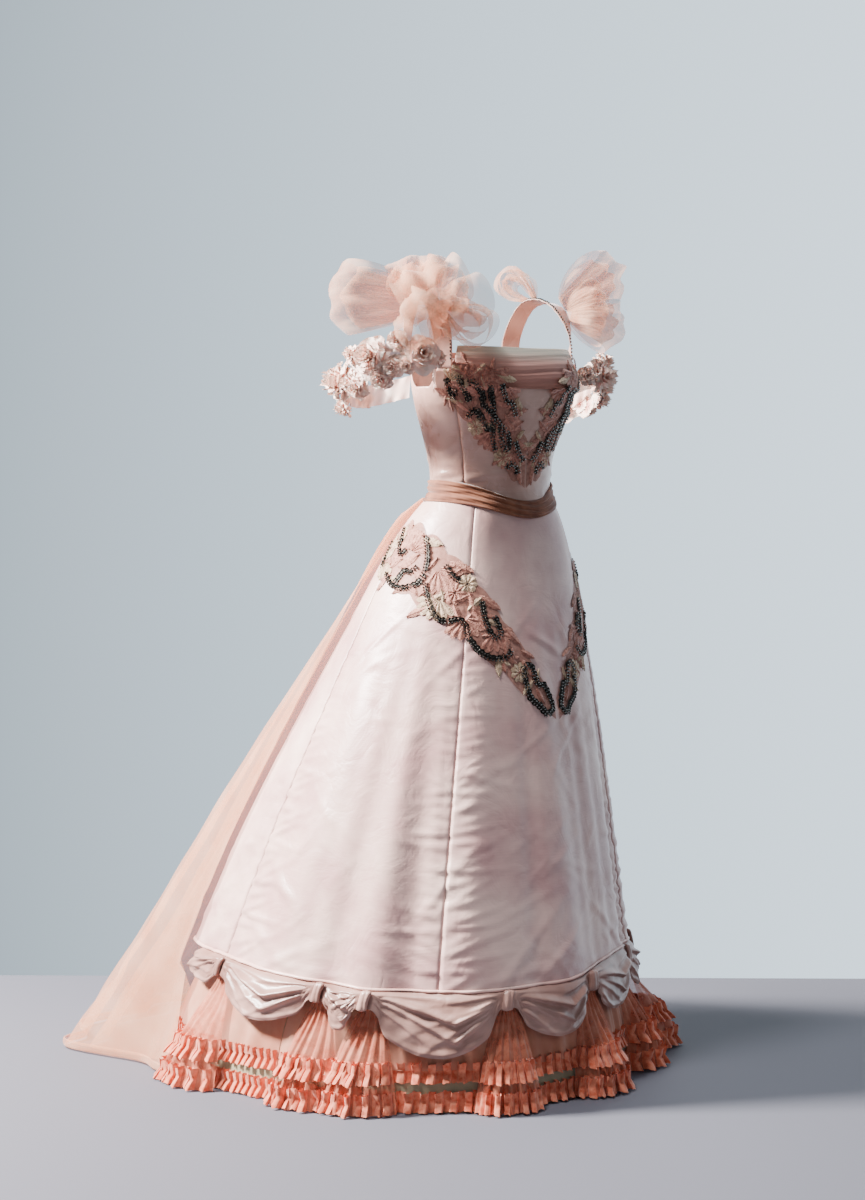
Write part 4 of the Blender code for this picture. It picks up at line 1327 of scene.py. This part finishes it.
# %% Shoulder loops
# Where each is sewn on, where it points, the way it widens, then its length, width and depth.
PUFFS = (
    ("left_up", (0.156, -0.022, 0.3475), (0.80, -0.22, 0.52), (-0.5, 0.0, 0.85), 0.140, 0.105, 0.042),
    ("left_down", (0.1645, -0.036, 0.326), (0.72, -0.40, -0.22), (0.3, 0.0, 0.95), 0.104, 0.098, 0.042),
    ("left_back", (0.140, 0.040, 0.3585), (-0.30, 0.75, 0.58), (0.9, 0.10, -0.22), 0.085, 0.070, 0.034),
    ("right_out", (-0.1725, -0.002, 0.342), (-0.95, 0.30, 0.03), (0.05, 0.0, 1.0), 0.165, 0.136, 0.060),
    ("right_up", (-0.141, 0.026, 0.3575), (0.02, 0.20, 0.95), (0.77, -0.64, 0.0), 0.070, 0.120, 0.044),
    ("right_front", (-0.152, -0.053, 0.326), (0.04, -0.80, -0.34), (0.90, 0.3, -0.2), 0.104, 0.118, 0.046),
)
PUFF_OPEN = (1 - math.cos(0.12 * math.pi)) / 2


def loop_place(root, points, widens, size, chance):
    ahead = unit(np.array(points))
    wide = unit(np.array(widens) - ahead * (np.array(widens) @ ahead))
    thick = np.cross(ahead, wide)
    waves = [(chance.uniform(0.9, 4.4), chance.uniform(-2.6, 2.6), chance.uniform(0, 6.28)) for _ in range(9)]

    def place(share, lift):
        lap = mix(0.06, 0.94, share) * 2 * np.pi
        out = np.clip(((1 - np.cos(lap)) / 2 - PUFF_OPEN) / (1 - PUFF_OPEN), 0, 1)
        swell = np.sin(lap) * np.sin(lap / 2)
        across = lift - 0.5
        crumple = sum(np.sin(2 * np.pi * (a * lift + b * share) + c) for a, b, c in waves) / 4.5
        fine = np.abs(np.sin(2 * np.pi * (waves[0][0] + 3.1) * lift + 3 * crumple)) - 0.5
        ruffle = 0.006 * out * np.cos(5 * np.pi * lift + 2 * np.pi * share) + 0.0062 * out * crumple
        ruffle = ruffle + 0.0026 * out * fine
        reach = size[0] * out * (1 - 0.22 * (2 * across) ** 2) + 0.005 * out * crumple
        gather = mix(0.22, 1.0, out**0.55)
        pleats = 0.0016 * (1 - out) * np.sin(24 * np.pi * lift)
        body = size[2] * swell + ruffle + pleats
        sideways = across * size[1] * gather
        return np.array(root) + np.outer(reach, ahead) + np.outer(sideways, wide) + np.outer(body, thick)

    return place


for number, (name, root, points, widens, length, width, depth) in enumerate(PUFFS):
    for layer, (long, wide, deep) in enumerate(((1.0, 1.0, 1.0), (0.84, 0.82, 0.55))):
        chance = np.random.default_rng(300 + number + 40 * layer)
        place = loop_place(root, points, widens, (length * long, width * wide, depth * deep), chance)
        nodes = [] if layer else [f"puff_{name}"]
        word = "inner_" if layer else ""
        cloth(f"loop_{word}{name}", nodes, LOOP_TULLE, place, (80, 40))

# Smaller loops, listed alike, fill the cloud where the large ones are sewn on.
FILLING_LOOPS = (
    ("right_middle", (-0.158, -0.020, 0.338), (-0.42, -0.62, 0.30), (0.75, -0.4, 0.45), 0.094, 0.140, 0.058),
    ("right_over", (-0.148, 0.002, 0.350), (-0.40, -0.30, 0.72), (0.6, -0.70, 0.10), 0.062, 0.130, 0.046),
    ("right_low", (-0.172, -0.034, 0.318), (-0.72, -0.60, -0.22), (0.35, -0.2, 0.9), 0.106, 0.110, 0.050),
    ("right_near", (-0.148, -0.048, 0.334), (-0.30, -0.86, -0.16), (0.77, -0.5, 0.35), 0.080, 0.150, 0.056),
    ("right_neck", (-0.140, -0.030, 0.346), (0.30, -0.72, 0.12), (0.2, 0.3, 0.9), 0.050, 0.096, 0.036),
    ("left_middle", (0.156, -0.036, 0.334), (0.62, -0.70, 0.12), (0.2, 0.2, 0.95), 0.074, 0.104, 0.038),
)
for number, (name, root, points, widens, length, width, depth) in enumerate(FILLING_LOOPS):
    place = loop_place(root, points, widens, (length, width, depth), np.random.default_rng(500 + number))
    cloth(f"loop_{name}", [], LOOP_TULLE, place, (72, 38))

# %% [markdown]
# ## Appliqué
# Two bands of lace cross the hips and meet in a point at the front, and two more run from the shoulders
# to the waist. Each has a ground of net, on which leaves, fans of pleated petals and small blossoms are
# raised, and rows of faceted steel beads curl through them. The layout here is a plain one of its own.

# %% Where a lace band lies
# Share along the band, its middle's direction and height, and its half height.
HIP_LACE = (
    (0.00, 122.0, -0.098, 0.036),
    (0.20, 103.0, -0.106, 0.056),
    (0.42, 78.0, -0.140, 0.062),
    (0.64, 50.0, -0.208, 0.058),
    (0.84, 25.0, -0.298, 0.048),
    (1.00, 1.5, -0.385, 0.018),
)
BODICE_LACE = (
    (0.00, 71.5, 0.190, 0.022),
    (0.22, 60.0, 0.176, 0.044),
    (0.50, 40.0, 0.136, 0.062),
    (0.76, 20.0, 0.088, 0.060),
    (1.00, 0.8, 0.050, 0.040),
)


def band_point(rows, share, across):
    """Direction and height of a place in a band: share along it, and from -1 below to 1 above."""
    shares = [row[0] for row in rows]
    angle, middle, half = (along(shares, [row[k] for row in rows], share) for k in (1, 2, 3))
    return angle, middle + half * across


def over_hip(angle, height):
    return satin_face(angle, height) + 0.0010 * bump(height + 0.070, 0.045)


def over_bodice(angle, height):
    band = (np.abs(turn(angle)) < BODICE_SEAM + 1) * rise(height, 0.176, 0.190)
    return bodice_face(angle, height) + 0.0105 * band * (1 - rise(height, 0.24, 0.262))


def net_place(rows, side, face, scallops):
    def place(share, lift):
        angle, middle = band_point(rows, share, 0 * share)
        half = along([row[0] for row in rows], [row[3] for row in rows], share)
        half = half * (0.84 + 0.20 * np.abs(np.cos(scallops * np.pi * share)))
        height = middle + half * (2 * lift - 1)
        return polar(side * angle, face(side * angle, height) + 0.0011, height)

    return place


# %% Shapes of the appliqué
def on_cloth(rows, side, face, share, across, lean, shape):
    """The rule that lays a small shape on the band: turned by lean, and drawn in metres on the cloth."""
    at, level = band_point(rows, np.array([share]), np.array([across]))
    reach = float(face(side * at, level)[0])

    def place(u, v):
        x, y, raised = shape(u, v)
        turned = math.radians(lean)
        forward = x * math.cos(turned) - y * math.sin(turned)
        height = level[0] + x * math.sin(turned) + y * math.cos(turned)
        angle = side * (at[0] - np.degrees(forward / reach))
        return polar(angle, face(angle, height) + 0.0016 + raised, height)

    return place


def leaf(length, width):
    def shape(u, v):
        side = 2 * v - 1
        half = 0.5 * width * np.sin(np.pi * u) ** 0.7 * (1 + 0.10 * np.cos(14 * np.pi * u))
        vein = 0.0011 * np.exp(-((side / 0.16) ** 2))
        ribs = 0.0004 * np.cos(2 * np.pi * (7 * u - 1.4 * np.abs(side)))
        return (u - 0.1) * length, side * half + 0.10 * length * u**2, 0.0012 * (1 - side**2) + vein + ribs

    return shape


def palmette(radius, petals, spread):
    """A fan of narrow petals with a scalloped edge."""

    def shape(u, v):
        way = (v - 0.5) * math.radians(spread)
        beat = np.abs(np.sin(petals * np.pi * v))
        ring = radius * mix(0.10, 1.0, u) * (1 - 0.20 * (1 - beat) * u)
        raised = 0.0008 + 0.0016 * beat * np.sin(np.pi * np.minimum(1, 0.15 + u)) ** 0.5
        return ring * np.cos(way), ring * np.sin(way), raised * (0.4 + 0.6 * beat)

    return shape


SHAPES = {
    "leaf": lambda size: (leaf(size, size * 0.34), 14, 8),
    "fan": lambda size: (palmette(size, 7, 150), 9, 42),
    "bloom": lambda size: (palmette(size, 9, 359), 7, 54),
}


# %% [markdown]
# The rows below place each motif by its share along the band, its place across it, the way it points and
# its size. Beads follow short curves through a few places each, always two rows side by side.

# %% The layout of the hip bands and of the bodice bands
HIP_MOTIFS = (
    ("cream", "bloom", 0.05, -0.05, 0, 0.021),
    ("cream", "fan", 0.11, -0.50, -100, 0.034),
    ("cream", "bloom", 0.14, 0.55, 0, 0.016),
    ("rose", "leaf", 0.10, 0.35, 30, 0.050),
    ("rose", "leaf", 0.16, 0.05, 8, 0.056),
    ("rose", "leaf", 0.20, 0.62, -12, 0.052),
    ("rose", "leaf", 0.25, -0.35, 24, 0.050),
    ("rose", "fan", 0.30, 0.20, 70, 0.036),
    ("rose", "leaf", 0.33, -0.15, -40, 0.046),
    ("cream", "leaf", 0.36, 0.72, -20, 0.044),
    ("rose", "fan", 0.47, 0.28, -52, 0.046),
    ("cream", "fan", 0.50, -0.42, -112, 0.040),
    ("rose", "leaf", 0.45, -0.92, 200, 0.040),
    ("rose", "leaf", 0.53, 0.76, -30, 0.048),
    ("rose", "bloom", 0.56, 0.05, 0, 0.021),
    ("rose", "fan", 0.61, -0.40, -74, 0.040),
    ("cream", "bloom", 0.61, 0.60, 0, 0.018),
    ("rose", "leaf", 0.64, 0.10, -64, 0.054),
    ("rose", "leaf", 0.68, 0.70, -40, 0.046),
    ("rose", "fan", 0.74, 0.10, -60, 0.036),
    ("cream", "leaf", 0.76, -0.60, -96, 0.036),
    ("rose", "leaf", 0.80, 0.70, -52, 0.040),
    ("cream", "bloom", 0.85, -0.30, 0, 0.018),
    ("rose", "leaf", 0.87, 0.35, -58, 0.042),
    ("rose", "leaf", 0.92, -0.20, -70, 0.032),
)
HIP_BEADS = (
    ((0.015, 0.30), (0.030, -0.30), (0.055, -0.80), (0.085, -0.55)),
    ((0.15, -0.80), (0.23, -0.94), (0.31, -0.84), (0.38, -0.50), (0.41, -0.05)),
    ((0.41, -0.05), (0.40, 0.40), (0.36, 0.85)),
    ((0.42, -0.30), (0.455, -0.70), (0.50, -0.98), (0.545, -0.86)),
    ((0.50, 0.55), (0.545, 0.42), (0.585, 0.52)),
    ((0.63, -0.84), (0.68, -0.98), (0.74, -0.76), (0.79, -0.30), (0.82, 0.24)),
    ((0.10, 0.75), (0.145, 0.50), (0.175, 0.10), (0.22, -0.05), (0.26, 0.20)),
    ((0.255, -0.84), (0.29, -0.40), (0.335, -0.30), (0.37, -0.02)),
    ((0.545, -0.86), (0.60, -0.55), (0.63, -0.84)),
    ((0.68, 0.60), (0.70, 0.10), (0.74, -0.10), (0.77, 0.30), (0.74, 0.62)),
    ((0.865, -0.10), (0.90, 0.62), (0.925, 0.10), (0.955, 0.62), (0.985, -0.20), (0.955, -1.30)),
    ((0.865, -0.10), (0.885, -0.92), (0.925, -1.05), (0.955, -1.30)),
)
BODICE_MOTIFS = (
    ("rose", "leaf", 0.03, 0.0, 20, 0.040),
    ("cream", "fan", 0.10, 0.45, 60, 0.026),
    ("rose", "leaf", 0.14, -0.35, -50, 0.042),
    ("rose", "leaf", 0.20, 0.30, -30, 0.050),
    ("rose", "fan", 0.28, 0.60, 40, 0.034),
    ("rose", "leaf", 0.30, -0.45, -80, 0.044),
    ("cream", "bloom", 0.36, -0.75, 0, 0.017),
    ("rose", "fan", 0.42, 0.66, 75, 0.038),
    ("rose", "leaf", 0.44, 0.05, -54, 0.052),
    ("rose", "fan", 0.54, -0.30, -96, 0.038),
    ("rose", "leaf", 0.56, 0.60, -20, 0.046),
    ("rose", "fan", 0.64, 0.35, -30, 0.038),
    ("cream", "bloom", 0.66, -0.70, 0, 0.018),
    ("rose", "leaf", 0.72, 0.80, 0, 0.042),
    ("rose", "fan", 0.50, 1.30, -60, 0.036),
    ("cream", "leaf", 0.58, 1.35, -20, 0.040),
    ("rose", "fan", 0.66, 1.30, -80, 0.032),
    ("rose", "leaf", 0.40, 1.10, -10, 0.044),
    ("rose", "fan", 0.78, -0.20, -80, 0.036),
    ("rose", "leaf", 0.84, 0.40, -40, 0.044),
    ("rose", "leaf", 0.90, -0.40, -90, 0.036),
    ("cream", "leaf", 0.94, 0.50, 10, 0.030),
)
BODICE_BEADS = (
    ((0.02, 0.70), (0.07, 0.05), (0.12, -0.50), (0.16, 0.10)),
    ((0.20, 0.70), (0.26, 0.30), (0.31, -0.10)),
    ((0.27, -0.80), (0.32, -0.35), (0.38, -0.20), (0.46, -0.42), (0.52, -0.30)),
    ((0.50, 0.90), (0.52, 0.45), (0.53, 0.0), (0.52, -0.45), (0.56, -0.82)),
    ((0.53, 0.10), (0.60, 0.06), (0.68, 0.14)),
    ((0.30, 0.55), (0.36, 0.70), (0.42, 0.50), (0.45, 0.15), (0.53, 0.10)),
    ((0.60, 0.06), (0.63, -0.30), (0.69, -0.40), (0.72, -0.10), (0.68, 0.14)),
    ((0.60, 1.20), (0.66, 0.90), (0.72, 1.05), (0.78, 0.85)),
    ((0.70, -0.92), (0.75, -0.62), (0.82, -0.52), (0.88, -0.70)),
    ((0.80, 0.20), (0.85, 0.02), (0.92, -0.06), (0.96, 0.20)),
)


def scattered(seed, count, highest):
    """Small leaves that fill the ground between the larger motifs."""
    chance = np.random.default_rng(seed)
    rows = []
    for number in range(count):
        tone = "rose" if chance.random() < 0.78 else "cream"
        share = 0.02 + 0.90 * (number + chance.uniform(0, 1)) / count
        across = chance.uniform(-0.85, highest)
        rows.append((tone, "leaf", share, across, chance.uniform(-180, 180), chance.uniform(0.022, 0.036)))
    return tuple(rows)


HIP_MOTIFS = HIP_MOTIFS + scattered(11, 54, 0.85)
BODICE_MOTIFS = BODICE_MOTIFS + scattered(12, 46, 1.5)
print("motifs:", len(HIP_MOTIFS), len(BODICE_MOTIFS), "bead rows:", len(HIP_BEADS), len(BODICE_BEADS))

# %% Beads in double rows
BEAD = 0.0020
BEAD_STEP = 0.0056
BEAD_ASIDE = 0.0029
BEAD_RAISED = 0.0046


def bead_centres(rows, side, face, path):
    """Places of the beads, two by two, and the cord of dark thread below them."""
    steps = np.linspace(0, len(path) - 1, 160)
    share = along(list(range(len(path))), [point[0] for point in path], steps)
    across = along(list(range(len(path))), [point[1] for point in path], steps)
    angle, height = band_point(rows, share, across)
    line = polar(side * angle, face(side * angle, height), height)
    walked = np.concatenate([[0], np.cumsum(np.linalg.norm(np.diff(line, axis=0), axis=1))])
    count = max(2, int(walked[-1] / BEAD_STEP))
    stops = (np.arange(count) + 0.5) * walked[-1] / count
    middles = np.stack([np.interp(stops, walked, line[:, k]) for k in range(3)], axis=1)
    ahead = np.gradient(middles, axis=0)
    out = unit(middles * (1, 1, 0))
    return middles, unit(np.cross(out, ahead)), out


def beads(name, rows, side, face, paths):
    form = bmesh.new()
    threads = bmesh.new()
    count = 0
    for path in paths:
        middles, sideways, out = bead_centres(rows, side, face, path)
        for row in (-1, 1):
            for middle, aside, away in zip(middles, sideways, out):
                made = bmesh.ops.create_icosphere(form, subdivisions=1, radius=BEAD)["verts"]
                centre = middle + aside * row * BEAD_ASIDE + away * BEAD_RAISED
                bmesh.ops.translate(form, verts=made, vec=Vector(centre))
                count += 1

        def strip(share, lift, middles=middles, sideways=sideways, out=out):
            places = share * (len(middles) - 1)
            spots = np.arange(len(middles))
            parts = [np.stack([np.interp(places, spots, each[:, k]) for k in range(3)], axis=1)
                     for each in (middles, sideways, out)]
            scallop = 1 + 0.16 * np.cos(np.pi * places)
            width = (2 * lift - 1) * 0.0062 * scallop
            cord = 0.0026 + 0.0010 * np.cos(4 * np.pi * lift) - 20 * width**2
            return parts[0] + parts[1] * width[:, None] + parts[2] * cord[:, None]

        grid(strip, 4 * len(middles), 8, threads)
    face_out(threads)
    piece(f"beads_{name}", form, STEEL).data.shade_flat()
    area = sum(each.calc_area() for each in threads.faces)
    backing = piece(f"bead_backing_{name}", threads, JET)
    print(f"beads_{name}: {count} beads")


# %% The four lace bands
def applique(name, rows, side, face, motifs):
    for colour, finish in (("rose", ROSE_EMBROIDERY), ("cream", CREAM_EMBROIDERY)):
        form = bmesh.new()
        for tone, kind, share, across, lean, size in motifs:
            if tone == colour:
                shape, along_it, across_it = SHAPES[kind](size)
                grid(on_cloth(rows, side, face, share, across, lean, shape), along_it, across_it, form)
        face_out(form)
        area = sum(each.calc_area() for each in form.faces)
        made = piece(f"applique_{colour}_{name}", form, finish)
        print(f"{made.name}: {area * 1e4:.0f} cm2 of appliqué")


for word, side in SIDES:
    for where, rows, face, motifs, paths, scallops, size in (
        ("hip", HIP_LACE, over_hip, HIP_MOTIFS, HIP_BEADS, 7, (110, 24)),
        ("bodice", BODICE_LACE, over_bodice, BODICE_MOTIFS, BODICE_BEADS, 5, (70, 24)),
    ):
        name = f"{where}_{word}"
        place = net_place(rows, side, face, scallops)
        net = cloth(f"lace_net_{name}", [f"lace_{name}"], LACE_NET, place, size)
        if side > 0:
            net.data.flip_normals()
        applique(name, rows, side, face, motifs)
        beads(name, rows, side, face, paths)

# %% [markdown]
# ## Floor, light and camera
# The floor is plain grey and looks pale under the lamps. A large soft lamp stands high to the left of
# the camera, a weaker one to its right. The backdrop behind the dress is lit brightly, and the room on
# the camera's side is dimmer, so that creases keep their shadows.


# %% Floor and surroundings
CAMERA_AZIMUTH = -40.0
FLOOR_SIZE = (4.8, 3.55, 1.0)
FLOOR_SHIFT = (0.0, -0.925, 0.0)
BELOW_HEM = 0.0005


def studio_floor():
    form = bmesh.new()
    bmesh.ops.create_grid(form, x_segments=1, y_segments=1, size=0.5)
    bmesh.ops.scale(form, verts=form.verts, vec=FLOOR_SIZE)
    bmesh.ops.translate(form, verts=form.verts, vec=FLOOR_SHIFT)
    bmesh.ops.rotate(form, verts=form.verts, matrix=Matrix.Rotation(math.radians(CAMERA_AZIMUTH), 3, "Z"))
    bmesh.ops.translate(form, verts=form.verts, vec=(0, 0, FLOOR - BELOW_HEM))
    mesh = bpy.data.meshes.new("floor")
    form.to_mesh(mesh)
    form.free()
    mesh.materials.append(finish_of("painted_floor", Roughness=0.75, Base_Color=linear("#5A5962"))[0])
    floor = bpy.data.objects.new("floor", mesh)
    bpy.context.scene.collection.objects.link(floor)


studio_floor()
world = bpy.data.worlds.new("studio")
bpy.context.scene.world = world
world.use_nodes = True
sky = world.node_tree.nodes["Background"]
sky.inputs["Color"].default_value = linear("#B3C3CF")
brightest = math.radians(CAMERA_AZIMUTH - 40)
backdrop = Vector((-math.sin(brightest), math.cos(brightest), 0.0))
ways = add_node(world.node_tree, "TexCoord", {})
product = {"operation": "DOT_PRODUCT", 0: ways.outputs["Generated"], 1: backdrop}
towards = add_node(world.node_tree, "VectorMath", product).outputs["Value"]
glow = {"Value": towards, "From Min": 0.50, "From Max": 0.95, "To Min": 0.27, "To Max": 3.7}
lit = add_node(world.node_tree, "MapRange", glow)
world.node_tree.links.new(lit.outputs[0], sky.inputs["Strength"])

# %% Lamps
# Name, direction from the camera's own azimuth, height over the waist, distance, size and power.
LAMPS = (
    ("key", -87.0, 1.8, 3.0, 0.8, 1180.0),
    ("fill", 30.0, 1.4, 4.4, 1.6, 11.0),
    ("top", -50.0, 3.4, 1.5, 0.6, 175.0),
    ("behind", 175.0, 1.6, 3.4, 2.0, 30.0),
)
for name, around, high, far, size, power in LAMPS:
    lamp = bpy.data.lights.new(name, "AREA")
    lamp.shape = "DISK"
    lamp.size = size
    lamp.energy = power
    lamp.color = (1.0, 0.985, 0.96) if name == "key" else (0.95, 0.97, 1.0)
    stand = bpy.data.objects.new(name, lamp)
    bpy.context.scene.collection.objects.link(stand)
    turned = math.radians(CAMERA_AZIMUTH + around)
    stand.location = (math.sin(turned) * far, -math.cos(turned) * far, high)
    aim = Vector((0, 0, -0.25)) - stand.location
    stand.rotation_euler = aim.to_track_quat("-Z", "Y").to_euler()

# %% Camera at the photograph's angle
CAMERA_FAR = 5.0
CAMERA_UP = 0.03
SENSOR = 36.0
FOCAL_PIXELS = 2730.0
FRAME_WIDE, FRAME_HIGH = 865.0, 1200.0
AXIS_PIXEL, EYE_LEVEL_PIXEL = 490.0, 476.0
turned = math.radians(CAMERA_AZIMUTH)
away = Vector((math.sin(turned), -math.cos(turned), 0))
yaw = math.atan((AXIS_PIXEL - FRAME_WIDE / 2) / FOCAL_PIXELS)
pitch = math.atan((FRAME_HIGH / 2 - EYE_LEVEL_PIXEL) / FOCAL_PIXELS)
left = Vector((-math.cos(turned), -math.sin(turned), 0))
flat = -away * math.cos(yaw) + left * math.sin(yaw)
looking = flat * math.cos(pitch) + Vector((0, 0, -math.sin(pitch)))
lens = bpy.data.cameras.new("camera")
lens.sensor_fit = "VERTICAL"
lens.sensor_height = SENSOR
lens.lens = FOCAL_PIXELS * SENSOR / FRAME_HIGH
camera = bpy.data.objects.new("camera", lens)
camera.location = away * CAMERA_FAR + Vector((0, 0, CAMERA_UP))
camera.rotation_euler = looking.to_track_quat("-Z", "Y").to_euler()
bpy.context.scene.collection.objects.link(camera)
bpy.context.scene.camera = camera

# %% Sizes, and the end
bpy.context.view_layer.update()
shown = [each for each in DRESS.objects if each.type == "MESH"]
faces = sum(len(each.data.polygons) for each in shown)
print("pieces:", len(shown), "faces before thickness:", faces)
